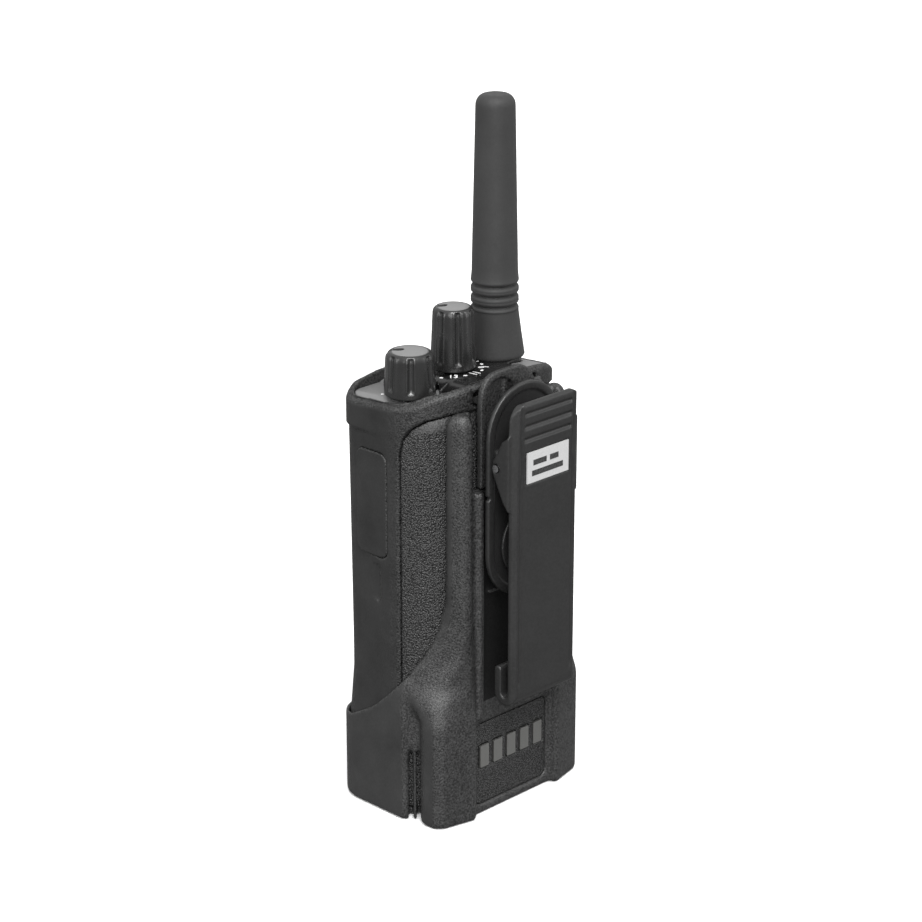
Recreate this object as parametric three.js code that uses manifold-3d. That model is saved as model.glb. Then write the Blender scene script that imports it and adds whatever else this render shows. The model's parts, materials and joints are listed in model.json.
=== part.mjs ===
// Two-way portable radio standing in a carry holster with a swivelling spring belt clip.
// Millimetres, +Z up. +X is the volume-knob side, -Y the speaker side, +Y the belt-clip side.
// Inside the file the radio's knob row lies at Y = 0; the last lines centre the whole object on Y.

import * as THREE from 'three';
import { mergeVertices } from 'three/addons/utils/BufferGeometryUtils.js';
import Module from 'manifold-3d';

const wasm = await Module();
wasm.setup();

// ---------------------------------------------------------------- driving dimensions

const GAP = 0.3;                  // clearance between neighbouring pieces

// Radio body: plan outline made of tangent arcs
const FRONT_CORNER = { x: 21.5, y: -12.5, r: 7 };
const BACK_CORNER = { x: 11.5, y: -2, r: 17 };
const CROWN_R = 75;               // gentle crown across the back
const HALF_WIDTH = BACK_CORNER.x + BACK_CORNER.r;
const FRONT_Y = FRONT_CORNER.y - FRONT_CORNER.r;
const BODY_BASE_Z = 2.8;
const CAP_HIGH_Z = 121.2;         // antenna side of the top
const CAP_LOW_Z = 116.8;          // outer edge of the volume side
const WALL = 2.1;
const DOOR_SPLIT_Y = 3.4;         // parting line on the sides
const DOOR_TOP_Z = 114.6;

// Knob row
const VOLUME = { x: 19.9, base: 117.9, height: 11.7, r: 6.8, cap: 5.0, pointer: -55 };
const CHANNEL = { x: 4.0, base: 121.5, height: 16.7, r: 6.0, cap: 4.4, pointer: -45 };
const POINTER = { width: 1.8, start: 1.5 };          // slot across the knob's end
const FLUTE = { count: 7, r: 0.85, bottom: 2.3, top: 1.2 };   // grooves down the knob's side
const SHAFT_R = 2.4;
const BORE_R = 2.7;
const PLATEAU_R = 9.2;
const PANEL_LOW_Z = 117.6;
const PANEL_HIGH_Z = 121.0;
const PANEL_THICK = 1.3;
const RIM_WIDTH = 2.3;            // edge of the housing round the top panel
const PANEL_GAP = 0.12;           // the panel and dial fit closely in the rim
const TOP_TILT = { degrees: 4.2, y: 9, z: 119 };   // the top falls gently towards the front
const DIAL_TOP_Z = 121.4;
const DIAL_APRON = { x0: -9, x1: 11.2 };            // the dial's black face reaches the rear rim here

// Antenna
const ANTENNA = {
  x: -11.6, base: 121.4, footTop: 134.4, top: 191.7, tipR: 5.2, waistR: 6.2, footShift: -1.2,
};
const RING_GROOVES_Z = [141.1, 138.4, 135.5];

// Holster
const CUP_WALL = 1.3;
const CUP_HALF_WIDTH = HALF_WIDTH + CUP_WALL;
const CUP_FLOOR = 2.4;
const CUP_FRONT_Y = FRONT_Y - CUP_WALL - 0.6;
const CUP_FRONT_TOP_Z = 23.5;
const WEB_FACE_Y = 18.4;
const WEB_HALF_WIDTH = 14.2;
const HOLSTER_TOP_Z = 115.2;
const WINDOW = { halfWidth: 13.6, bottom: 2.6, top: 26.6 };

// Release tab: the flexing top of the holster back
const TAB = { root: 93.5, halfWidth: 12.2, apex: 124.6, floor: 17.2, face: 18.3 };

// Swivel
const HUB_Z = 78;
const PLATE = { inner: 21.0, outer: 22.5, halfWidth: 13.7, top: 121.5, bottom: 62.5, rim: 2.2 };
const HUB_R = 9.6;

// Clip lever
const PIVOT = { y: 24.4, z: 101.4, pinR: 1.0, boreR: 1.15 };
const LEVER = {
  halfWidth: 12.2, flat: 10.6, top: 119.4, bottom: 34.8, thick: 2.3, face: 30.3, back: 30.8, bendR: 3.5,
};
const THUMB_GROOVES_Z = [116.4, 112.9, 109.4];
const EAR = { inner: 11.4, outer: 13.2 };
const LUG = { inner: 8.6, outer: 11.0 };

// ---------------------------------------------------------------- solid helpers

// A manifold solid from any closed three.js geometry
function solid(geometry) {
  const bare = geometry.clone();
  bare.deleteAttribute('normal');
  bare.deleteAttribute('uv');
  const merged = mergeVertices(bare, 1e-4);
  const corners = merged.index.array;
  const triangles = [];
  for (let i = 0; i < corners.length; i += 3) {
    const [a, b, c] = [corners[i], corners[i + 1], corners[i + 2]];
    if (a !== b && b !== c && c !== a) triangles.push(a, b, c);
  }
  return new wasm.Manifold(new wasm.Mesh({
    numProp: 3,
    vertProperties: new Float32Array(merged.attributes.position.array),
    triVerts: new Uint32Array(triangles),
  }));
}

function geometryOf(body) {
  const mesh = body.getMesh();
  const geometry = new THREE.BufferGeometry();
  geometry.setAttribute('position', new THREE.BufferAttribute(new Float32Array(mesh.vertProperties), 3));
  geometry.setIndex(new THREE.BufferAttribute(new Uint32Array(mesh.triVerts), 1));
  geometry.computeVertexNormals();
  return geometry;
}

function union(...bodies) {
  return bodies.reduce((sum, body) => sum.add(body));
}

// Shape points may be [u, v] pairs; arcs are added with the Shape's own calls
function polygon(points) {
  return new THREE.Shape(points.map(([u, v]) => new THREE.Vector2(u, v)));
}

function roundedRect(width, height, radius, u = 0, v = 0) {
  const [w, h] = [width / 2, height / 2];
  const s = new THREE.Shape();
  s.moveTo(u - w + radius, v - h);
  s.lineTo(u + w - radius, v - h);
  s.absarc(u + w - radius, v - h + radius, radius, -Math.PI / 2, 0);
  s.lineTo(u + w, v + h - radius);
  s.absarc(u + w - radius, v + h - radius, radius, 0, Math.PI / 2);
  s.lineTo(u - w + radius, v + h);
  s.absarc(u - w + radius, v + h - radius, radius, Math.PI / 2, Math.PI);
  s.lineTo(u - w, v - h + radius);
  s.absarc(u - w + radius, v - h + radius, radius, Math.PI, Math.PI * 1.5);
  return s;
}

function extruded(shape, length, bevel, arcSteps) {
  return new THREE.ExtrudeGeometry(shape, {
    depth: length - 2 * bevel,
    bevelEnabled: bevel > 0,
    bevelThickness: bevel,
    bevelSize: bevel,
    bevelOffset: -bevel,
    bevelSegments: 2,
    curveSegments: arcSteps,
  }).translate(0, 0, bevel);
}

// The shape lies in XY and grows along Z
function alongZ(shape, z0, z1, bevel = 0, arcSteps = 4) {
  return solid(extruded(shape, z1 - z0, bevel, arcSteps).translate(0, 0, z0));
}

// The shape lies in XZ and grows along Y
function alongY(shape, y0, y1, bevel = 0, arcSteps = 4) {
  const g = extruded(shape, y1 - y0, bevel, arcSteps).translate(0, 0, -y1);
  return solid(g.rotateX(Math.PI / 2));
}

// The shape lies in YZ and grows along X
function alongX(shape, x0, x1, bevel = 0, arcSteps = 4) {
  const g = extruded(shape, x1 - x0, bevel, arcSteps).translate(0, 0, x0);
  const turn = new THREE.Matrix4().makeBasis(
    new THREE.Vector3(0, 1, 0), new THREE.Vector3(0, 0, 1), new THREE.Vector3(1, 0, 0));
  return solid(g.applyMatrix4(turn));
}

function block(x0, x1, y0, y1, z0, z1) {
  const g = new THREE.BoxGeometry(x1 - x0, y1 - y0, z1 - z0);
  return solid(g.translate((x0 + x1) / 2, (y0 + y1) / 2, (z0 + z1) / 2));
}

function post(radius, z0, z1, x = 0, y = 0, sides = 24) {
  const g = new THREE.CylinderGeometry(radius, radius, z1 - z0, sides).rotateX(Math.PI / 2);
  return solid(g.translate(x, y, (z0 + z1) / 2));
}

function barrelY(radius, y0, y1, x = 0, z = 0, sides = 24) {
  const g = new THREE.CylinderGeometry(radius, radius, y1 - y0, sides);
  return solid(g.translate(x, (y0 + y1) / 2, z));
}

function barrelX(radius, x0, x1, y = 0, z = 0, sides = 20) {
  const g = new THREE.CylinderGeometry(radius, radius, x1 - x0, sides).rotateZ(Math.PI / 2);
  return solid(g.translate((x0 + x1) / 2, y, z));
}

// A turned solid about Z; the profile starts and ends on the axis
function turned(profile, sides = 24) {
  const points = profile.map(([r, z]) => new THREE.Vector2(r, z));
  return solid(new THREE.LatheGeometry(points, sides).rotateX(Math.PI / 2));
}

// A skin through plan sections with equal point counts, closed at both ends
function loft(sections) {
  const count = sections[0].points.length;
  const vertices = [];
  for (const { z, points } of sections) {
    for (const [x, y] of points) vertices.push(x, y, z);
  }
  const index = [];
  for (let level = 0; level < sections.length - 1; level += 1) {
    for (let i = 0; i < count; i += 1) {
      const a = level * count + i;
      const b = level * count + (i + 1) % count;
      index.push(a, b, b + count, a, b + count, a + count);
    }
  }
  const flat = (points) => THREE.ShapeUtils.triangulateShape(
    points.map(([x, y]) => new THREE.Vector2(x, y)), []);
  const top = (sections.length - 1) * count;
  for (const [a, b, c] of flat(sections[0].points)) index.push(a, c, b);
  for (const [a, b, c] of flat(sections.at(-1).points)) index.push(top + a, top + b, top + c);
  const g = new THREE.BufferGeometry();
  g.setAttribute('position', new THREE.Float32BufferAttribute(vertices, 3));
  g.setIndex(index);
  return solid(g);
}

function mirrored(body) {
  return body.mirror([1, 0, 0]);
}

// ---------------------------------------------------------------- materials

function material(color, roughness, metalness = 0) {
  return new THREE.MeshStandardMaterial({ color, roughness, metalness });
}

const housingPlastic = material(0x2b2b2c, 0.6);
const doorPlastic = material(0x303031, 0.75);
const holsterPlastic = material(0x2a2a2b, 0.62);
const clipPlastic = material(0x262627, 0.5);
const glossPlastic = material(0x121213, 0.2);
const knobPlastic = material(0x1c1c1d, 0.3);
const knobCapPlastic = material(0x77787a, 0.35);
const panelPlastic = material(0xa9abad, 0.4);
const antennaRubber = material(0x313132, 0.7);
const buttonRubber = material(0x222223, 0.65);
const steel = material(0x9fa1a4, 0.3, 1);
const brass = material(0xb08d4a, 0.35, 1);
const magnesium = material(0x8b8d90, 0.5, 1);
const padPlating = material(0x8a8a88, 0.4, 1);
const labelFoil = material(0xb4b4b2, 0.5);
const boardGlass = material(0x1d5a35, 0.6);
const batteryWrap = material(0x3a3c40, 0.6);
const clothBlack = material(0x151515, 0.95);

// ---------------------------------------------------------------- radio: outline and casings

// The radio's plan outline, moved outwards by `grow`
function bodyOutline(grow = 0) {
  const f = FRONT_CORNER;
  const b = BACK_CORNER;
  const crownDrop = Math.sqrt((CROWN_R - b.r) ** 2 - b.x ** 2);
  const meet = Math.atan2(crownDrop, b.x);
  const s = new THREE.Shape();
  s.moveTo(-f.x, FRONT_Y - grow);
  s.lineTo(f.x, FRONT_Y - grow);
  s.absarc(f.x, f.y, f.r + grow, -Math.PI / 2, 0);
  s.lineTo(HALF_WIDTH + grow, b.y);
  s.absarc(b.x, b.y, b.r + grow, 0, meet);
  s.absarc(0, b.y - crownDrop, CROWN_R + grow, meet, Math.PI - meet);
  s.absarc(-b.x, b.y, b.r + grow, Math.PI - meet, Math.PI);
  s.lineTo(-HALF_WIDTH - grow, f.y);
  s.absarc(-f.x, f.y, f.r + grow, Math.PI, Math.PI * 1.5);
  return s;
}

// Space above a line drawn in XZ from +X to -X, used to cut tops to height on the tilted top
function spaceAbove(line) {
  const { degrees, y, z } = TOP_TILT;
  const level = alongY(polygon([...line, [-60, 160], [60, 160]]), -60, 60);
  return level.translate([0, -y, -z]).rotate([degrees, 0, 0]).translate([0, y, z]);
}

const RIM_LINE = [
  [60, CAP_LOW_Z], [28.2, CAP_LOW_Z], [25.4, 117.8], [22, 119.6], [14, 120.8], [5, CAP_HIGH_Z],
  [-7, CAP_HIGH_Z], [-14, 120.5], [-20, 119.3], [-24, 117.7], [-28.2, CAP_LOW_Z - 0.5],
  [-60, CAP_LOW_Z - 0.5],
];

function panelLine(drop) {
  return [
    [60, PANEL_LOW_Z - 2 - drop], [28, PANEL_LOW_Z - 1.4 - drop], [24, PANEL_LOW_Z - drop],
    [14.6, PANEL_LOW_Z - drop], [12.6, 118.5 - drop], [11.4, 119.8 - drop],
    [10.6, PANEL_HIGH_Z - drop], [-9, PANEL_HIGH_Z - drop], [-16, 120.0 - drop], [-22, 118.2 - drop],
    [-27, 116.2 - drop], [-60, 116.2 - drop],
  ];
}

// Everything behind the door's parting line, up to its curved top edge
function doorSpace(shrink) {
  const y = DOOR_SPLIT_Y + shrink;
  const s = new THREE.Shape();
  s.moveTo(y, -5);
  s.lineTo(30, -5);
  s.lineTo(30, DOOR_TOP_Z + 1.2 - shrink);
  s.lineTo(13.5, DOOR_TOP_Z - shrink);
  s.quadraticCurveTo(y + 0.6, DOOR_TOP_Z - 2.2 - shrink, y, 104);
  return alongX(s, -40, 40);
}

// Room for the volume knob to turn in
function volumeWell() {
  return post(VOLUME.r + 0.5, VOLUME.base - GAP, 130, VOLUME.x, 0, 32);
}

const SIDE_COVER = { y0: -11.6, y1: -0.6, z0: 73.6, z1: 102.4, thick: 1.3 };
const PTT = { y: -3.6, z: 91.4, height: 25, width: 9.5 };
const SIDE_KEYS_Z = [70.8, 61.2];
const TALK_RECESS = { bottom: 56, top: 105.2 };

function frontHousing() {
  let body = alongZ(bodyOutline(), BODY_BASE_Z, 124, 0, 5);
  body = body.subtract(spaceAbove(RIM_LINE));
  body = body.subtract(alongZ(bodyOutline(-WALL), BODY_BASE_Z + WALL, 113.4, 0, 4));
  body = body.subtract(doorSpace(0));

  // Recess that takes the top panel and the dial plate
  const recess = alongZ(bodyOutline(-RIM_WIDTH), 112, 130, 0, 4);
  body = body.subtract(recess.intersect(spaceAbove(panelLine(PANEL_THICK + GAP))));
  for (const knob of [VOLUME, CHANNEL]) body = body.subtract(post(3.9, 110, 125, knob.x));
  body = body.subtract(post(3.4, 110, 125, ANTENNA.x));
  body = body.subtract(volumeWell());

  // Speaker slots and the microphone hole
  for (let row = 0; row < 9; row += 1) {
    const halfLength = 17 * Math.sqrt(1 - ((row - 4) / 5.4) ** 2);
    const z = 60 + row * 4.2;
    const slot = roundedRect(halfLength * 2, 1.7, 0.84, 0, z);
    body = body.subtract(alongY(slot, -25, FRONT_Y + WALL + 2, 0, 2));
  }
  body = body.subtract(barrelY(0.7, -25, -15, -14, 48, 10));

  // Volume side: pocket and jack window behind the accessory cover, thumb recess below it
  const cover = SIDE_COVER;
  const centre = [(cover.y0 + cover.y1) / 2, (cover.z0 + cover.z1) / 2];
  const size = [cover.y1 - cover.y0 + 2 * GAP, cover.z1 - cover.z0 + 2 * GAP];
  const pocket = roundedRect(size[0], size[1], 2.6, ...centre);
  body = body.subtract(alongX(pocket, HALF_WIDTH - cover.thick - GAP, 40));
  body = body.subtract(block(20, 40, -10, -3.4, 79, 98));
  body = body.subtract(alongX(roundedRect(8, 11, 1.2, -6.8, 66), HALF_WIDTH - 0.5, 40));

  // Talk side: windows for the talk bar and the two side keys
  const talk = TALK_RECESS;
  const talkMiddle = (talk.top + talk.bottom) / 2;
  const talkShape = roundedRect(PTT.width + 1.6, talk.top - talk.bottom, 3.2, PTT.y, talkMiddle);
  body = body.subtract(alongX(talkShape, -40, -HALF_WIDTH + 1.5));
  body = body.subtract(block(-40, -20, PTT.y - 3, PTT.y + 3, PTT.z - 10, PTT.z + 10));
  for (const z of SIDE_KEYS_Z) {
    body = body.subtract(block(-40, -20, PTT.y - 2, PTT.y + 2, z - 2.4, z + 2.4));
  }

  // Catch pockets for the holster's hooks, and the lens hole
  for (const side of [-1, 1]) {
    const x = side * 9.6;
    body = body.subtract(block(x - 2.2, x + 2.2, 12.4, 20, 115.6, 119.6));
  }
  body = body.subtract(post(1.7, 100, 125, 13, -12.6, 12));
  return body;
}

function batteryDoor() {
  let body = alongZ(bodyOutline(), BODY_BASE_Z, 124, 0, 5).intersect(doorSpace(GAP));
  body = body.subtract(alongZ(bodyOutline(-1.7), BODY_BASE_Z + 1.8, DOOR_TOP_Z - 3.2, 0, 4));
  // Seat of the charging contact block
  body = body.subtract(block(-13.5, 13.5, 13.6, 20, 2.7, 26.5));
  return body;
}

function topPanel() {
  let body = alongZ(bodyOutline(-RIM_WIDTH - PANEL_GAP), 112, 130, 0, 4);
  body = body.subtract(spaceAbove(panelLine(0)));
  body = body.intersect(spaceAbove(panelLine(PANEL_THICK)));
  body = body.subtract(dialArea(GAP)).subtract(volumeWell());
  body = body.subtract(post(4.2, 110, 125, VOLUME.x));
  return body.subtract(post(1.7, 100, 130, 13, -12.6, 12));
}

// The black plateau: a disc round the channel knob joined to a collar round the antenna
function dialOutline(grow) {
  const disc = PLATEAU_R + grow;
  const collar = 7.2 + grow;
  const s = new THREE.Shape();
  const tilt = Math.acos((PLATEAU_R - 7.2) / (CHANNEL.x - ANTENNA.x));
  s.absarc(CHANNEL.x, 0, disc, -Math.PI + tilt, Math.PI - tilt);
  s.absarc(ANTENNA.x, 0, collar, Math.PI - tilt, Math.PI + tilt);
  return s;
}

// The plateau with the apron behind it, inside the recess of the top
function dialArea(grow) {
  const { x0, x1 } = DIAL_APRON;
  const apron = block(x0 - grow, x1 + grow, 0, 30, 110, 130);
  const inside = alongZ(bodyOutline(-RIM_WIDTH - PANEL_GAP), 112, 130, 0, 4);
  return alongZ(dialOutline(grow), 112, 130, 0, 6).add(apron).intersect(inside);
}

// The dial stands a little proud; its apron runs out level with the rim
function dialPlate() {
  const disc = alongZ(dialOutline(0), 112, 130, 0, 6);
  const plateau = disc.subtract(spaceAbove([[60, DIAL_TOP_Z], [-60, DIAL_TOP_Z]]));
  let body = dialArea(0).subtract(spaceAbove(RIM_LINE)).add(plateau);
  body = body.intersect(spaceAbove(panelLine(PANEL_THICK))).subtract(volumeWell());
  body = body.subtract(post(3.6, 100, 130, CHANNEL.x));
  return body.subtract(post(3.4, 100, 130, ANTENNA.x));
}

// ---------------------------------------------------------------- radio: knobs and antenna

// The pointer slot of a knob, between two radii and above a floor
function pointerSlot(from, to, floor, degrees) {
  const half = POINTER.width / 2;
  return block(from, to, -half, half, floor, floor + 5).rotate([0, 0, degrees]);
}

// A fluted knob standing on z = 0 about its own axis, with a blind bore for its shaft
function knobBody({ r, height, cap, pointer }) {
  const crown = 1.9;
  let body = turned([
    [0, 0], [r, 0], [r, 0.8], [r - 0.25, height - crown], [r - 0.7, height - 0.9],
    [cap + 0.25, height - 0.35], [0, height - 0.35],
  ], 32);
  const groove = post(FLUTE.r, FLUTE.bottom, height - FLUTE.top, r + 0.2, 0, 12);
  for (let i = 0; i < FLUTE.count; i += 1) {
    body = body.subtract(groove.rotate([0, 0, pointer + i * 360 / FLUTE.count]));
  }
  body = body.subtract(post(cap - 0.05, height - 1.0, height + 1, 0, 0, 32));
  body = body.subtract(pointerSlot(cap - 1, r + 1, height - 1.0, pointer));
  return body.subtract(post(BORE_R, -1, height - 3.2));
}

// The satin disc in the knob's end, with the pointer slot across it
function knobCap({ height, cap, pointer }) {
  const disc = turned([
    [0, 0], [cap - 0.35, 0], [cap - 0.35, 0.45], [cap * 0.6, 0.68], [0, 0.75],
  ], 32);
  const slot = pointerSlot(POINTER.start, cap + 1, 0.15, pointer);
  return disc.subtract(slot).translate([0, 0, height - 0.7]);
}

function controlShaft(knob) {
  const tip = knob.base + knob.height - 3.6;
  const shaft = post(SHAFT_R, 108.3, tip, 0, 0, 20);
  return shaft.subtract(block(1.6, 5, -5, 5, knob.base + 2, tip + 1));
}

function controlBody(width, depth, bottom) {
  const can = block(-width / 2, width / 2, -depth / 2, depth / 2, bottom, 109.2);
  return can.add(post(3.6, 109, 112.6)).subtract(post(BORE_R, 108, 120));
}

function antennaSheath() {
  const { base, top, tipR, waistR, footTop } = ANTENNA;
  const profile = [[0, footTop - 0.2], [waistR + 0.1, footTop - 0.2]];
  const ridge = 6.35;
  for (const z of RING_GROOVES_Z.toReversed()) {
    profile.push([ridge, z - 1.3], [ridge, z - 0.8]);
    profile.push([waistR - 0.55, z - 0.25], [waistR - 0.55, z + 0.25], [ridge, z + 0.8]);
  }
  profile.push([waistR, 143.4], [tipR, top - 3]);
  for (const angle of [25, 50, 72]) {
    const a = THREE.MathUtils.degToRad(angle);
    profile.push([tipR - 2.2 + 2.2 * Math.cos(a), top - 3 + 3 * Math.sin(a)]);
  }
  profile.push([0, top]);
  const mast = turned(profile, 24);

  // Skewed foot: a cone whose lower end is shifted away from the channel knob
  const ring = (r, shift) => Array.from({ length: 24 }, (_, i) => {
    const a = i * Math.PI / 12;
    return [shift + r * Math.cos(a), r * Math.sin(a)];
  });
  const foot = loft([
    { z: base, points: ring(7.0, ANTENNA.footShift) },
    { z: base + 0.4, points: ring(7.2, ANTENNA.footShift) },
    { z: footTop, points: ring(waistR + 0.1, 0) },
  ]);
  return union(mast, foot).subtract(post(3.0, 100, base + 6.4)).subtract(post(1.5, 100, 184));
}

function antennaSocket() {
  const nut = post(5.2, 110.6, 113.0, 0, 0, 6);
  const stud = post(2.9, 112.9, ANTENNA.base + 6).add(nut);
  return stud.subtract(post(1.5, 116, 140));
}

// ---------------------------------------------------------------- radio: side controls

function talkBar() {
  const cap = alongX(roundedRect(PTT.width, PTT.height, 2.6, PTT.y, PTT.z), -29.7, -27.9, 0.5, 3);
  return cap.add(block(-28.2, -25.4, PTT.y - 1.6, PTT.y + 1.6, PTT.z - 7, PTT.z + 7));
}

function sideKey(z) {
  const cap = alongX(roundedRect(6.6, 7.6, 1.6, PTT.y, z), -29.5, -27.9, 0.4, 3);
  return cap.add(block(-28.2, -25.4, PTT.y - 1.2, PTT.y + 1.2, z - 1.6, z + 1.6));
}

function switchBoard() {
  let board = block(-24.4, -23.6, -8.5, -0.2, 54, 100);
  for (const z of [PTT.z, ...SIDE_KEYS_Z]) {
    board = board.add(barrelX(1.9, -24.55, -24.2, PTT.y, z, 16));
  }
  return board;
}

function accessoryCover() {
  const c = SIDE_COVER;
  const shape = roundedRect(c.y1 - c.y0, c.z1 - c.z0, 2.4, (c.y0 + c.y1) / 2, (c.z0 + c.z1) / 2);
  let body = alongX(shape, HALF_WIDTH - c.thick, HALF_WIDTH, 0.3, 3);
  const nail = roundedRect(5, 1.2, 0.5, (c.y0 + c.y1) / 2, c.z1 - 2.6);
  return body.subtract(alongX(nail, HALF_WIDTH - 0.6, 40, 0, 2));
}

function accessoryJack() {
  let body = block(19.5, 26.6, -9.6, -3.8, 80, 97);
  body = body.subtract(barrelX(1.75, 21, 30, -6.7, 92, 16));
  return body.subtract(barrelX(1.25, 21, 30, -6.7, 84.5, 16));
}

// ---------------------------------------------------------------- radio: insides

function chassisPlate() {
  let body = alongZ(bodyOutline(-WALL - 1.2), 8, 100.6, 0, 3).intersect(block(-40, 40, 0.4, 1.9, 0, 120));
  body = body.subtract(block(-9, 9, -5, 5, 40, 60));
  for (const [x, z] of CHASSIS_SCREWS) body = body.subtract(barrelY(1.15, -1, 3, x, z, 12));
  return body;
}

const CHASSIS_SCREWS = [[-22, 14], [22, 14], [-22, 96], [22, 96]];

function chassisScrew() {
  const head = barrelY(2.0, 2.2, 3.5, 0, 0, 16);
  const shank = barrelY(0.9, -3.4, 2.3, 0, 0, 12);
  return head.add(shank).subtract(alongY(roundedRect(2.4, 0.6, 0.1), 2.9, 4, 0, 1));
}

function mainBoard() {
  let body = block(-22.6, 18.6, -2.2, -0.8, 9, 100);
  for (const [x, z] of CHASSIS_SCREWS) body = body.subtract(block(x - 2, x + 2, -3, 1, z - 2, z + 2));
  return body;
}

function shieldCan() {
  return alongY(roundedRect(30, 24, 1.5, -2, 36), -5.6, -2.5, 0.3, 2);
}

function speakerDriver() {
  const body = barrelY(17.2, -15.2, -11.6, 0, 77, 32).add(barrelY(9, -11.8, -8.2, 0, 77, 24));
  const cone = barrelY(15.2, -16, -14.2, 0, 77, 32).subtract(barrelY(5, -17, -13, 0, 77, 20));
  return body.subtract(cone);
}

function microphone() {
  return barrelY(2.8, -16.8, -14.6, -14, 48, 16);
}

function batteryPack() {
  const s = roundedRect(42, 80, 2.2, 0, 60.5);
  return alongY(s, 4.4, 12.6, 0.8, 3).intersect(alongZ(bodyOutline(-2.4), 0, 120, 0, 4));
}

function contactBlock() {
  let body = alongY(roundedRect(26.4, 23.2, 1.4, 0, 14.6), 13.9, 18.0, 0, 3);
  for (const x of CONTACT_X) body = body.subtract(block(x - 1.95, x + 1.95, 17.2, 20, 13.2, 20.2));
  return body;
}

const CONTACT_PITCH = 5.19;
const CONTACT_X = [2, 1, 0, -1, -2].map((step) => step * CONTACT_PITCH);

function chargingContact() {
  return alongY(roundedRect(3.3, 6.4, 0.3), 17.5, 18.15, 0, 1);
}

// ---------------------------------------------------------------- holster

// Plan sections of one leg, which flares over the cup's lip and narrows into the arm that hugs
// the radio's corner
const LEG_PLAN = [[15.6, 15.5], [26.3, 9.9], [27.6, 10.9], [28.3, 13.0], [28.0, 16.2], [26.0, 18.2],
  [16.2, 20.5], [15.2, 19.9], [14.9, 18.0]];
const SHOULDER_PLAN = [[15.6, 15.5], [27.3, 7.6], [28.7, 8.4], [28.9, 11.0], [27.6, 15.0], [25.2, 17.4],
  [16.3, 20.2], [15.3, 19.7], [15.0, 18.0]];
const ARM_PLAN = [[15.6, 15.0], [19.2, 13.0], [21.0, 14.2], [21.0, 15.8], [19.9, 18.1], [18.7, 19.3],
  [17.1, 19.8], [16.3, 19.2], [15.9, 17.6]];

// A point on the radio's rounded back corner, at a radius and an angle from the +X side
function aroundCorner(radius, degrees) {
  const a = THREE.MathUtils.degToRad(degrees);
  return [BACK_CORNER.x + radius * Math.cos(a), BACK_CORNER.y + radius * Math.sin(a)];
}

// An arm section whose outer edge starts at the given angle; t runs from the flare to the arm
function armSection(z, edge, t) {
  const mix = (from, to) => from + (to - from) * t;
  const points = [
    [15.6, mix(15.5, 15.0)], aroundCorner(17.2, edge - 1.5), aroundCorner(18.8, edge),
    aroundCorner(mix(19.5, 20.2), edge + mix(8, 2.5)),
    aroundCorner(mix(20.6, 21.8), mix(edge + 22, 67.3)),
    aroundCorner(mix(21.8, 22.5), mix(60, 71.3)), [mix(16.6, 17.1), mix(20.0, 19.8)],
    [mix(15.5, 16.3), mix(19.5, 19.2)], [mix(15.1, 15.9), mix(18.0, 17.6)],
  ];
  return { z, points };
}

function towards(points, [cx, cy], t) {
  return points.map(([x, y]) => [x + (cx - x) * t, y + (cy - y) * t]);
}

function legAndArm() {
  const core = [17.4, 16.4];
  return loft([
    { z: 0, points: towards(LEG_PLAN, [20, 15], 0.06) },
    { z: 0.9, points: LEG_PLAN },
    { z: 30, points: LEG_PLAN },
    { z: 34.5, points: SHOULDER_PLAN },
    armSection(39.5, 21.5, 0),
    armSection(43, 32.4, 0.1),
    armSection(47.3, 44.4, 0.35),
    armSection(53, 53.2, 0.7),
    armSection(57.2, 57.7, 0.9),
    { z: 62.6, points: ARM_PLAN },
    { z: HOLSTER_TOP_Z - 3, points: ARM_PLAN },
    { z: HOLSTER_TOP_Z - 1, points: towards(ARM_PLAN, core, 0.16) },
    { z: HOLSTER_TOP_Z, points: towards(ARM_PLAN, core, 0.5) },
  ]);
}

// What stays of the cup's shell: below its scooped brim, and the strip that backs the arms
function cupKeep() {
  const brim = polygon([
    [-30, -1], [30, -1], [30, 46], [9.5, 45.6], [3.9, 38.6], [-1.5, 33.4], [-5.5, 30], [-10.3, 27.1],
    [-14.6, 24.9], [-30, CUP_FRONT_TOP_Z],
  ]);
  const strip = [
    [28.4, 30], [28.2, 41.6], [26.8, 44], [25.0, 47.3], [22.8, 53], [21.6, 57.2], [20.6, 62.6],
    [20.2, 75], [20.0, HOLSTER_TOP_Z - 2.4], [17.6, HOLSTER_TOP_Z],
  ];
  const left = strip.map(([x, z]) => [-x, z]).toReversed();
  return alongX(brim, -50, 50).add(alongY(polygon([...strip, ...left]), 7, 40));
}

function cupShell() {
  const outline = new THREE.Shape();
  const [w, r] = [CUP_HALF_WIDTH, 9.5];
  outline.moveTo(-w + r, CUP_FRONT_Y);
  outline.lineTo(w - r, CUP_FRONT_Y);
  outline.absarc(w - r, CUP_FRONT_Y + r, r, -Math.PI / 2, 0);
  outline.lineTo(w, 5.4);
  outline.absarc(w - 1.6, 5.4, 1.6, 0, Math.PI / 2);
  outline.lineTo(0, 7);
  outline.lineTo(-w + 1.6, 7);
  outline.absarc(-w + 1.6, 5.4, 1.6, Math.PI / 2, Math.PI);
  outline.lineTo(-w, CUP_FRONT_Y + r);
  outline.absarc(-w + r, CUP_FRONT_Y + r, r, Math.PI, Math.PI * 1.5);
  const cheeks = alongZ(outline, 0, 60, 0.8, 5);
  const hug = alongZ(bodyOutline(1.9), 0, HOLSTER_TOP_Z, 0, 4);
  return cheeks.add(hug.intersect(block(-40, 40, 4.5, 40, 0, 140))).intersect(cupKeep());
}

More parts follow.
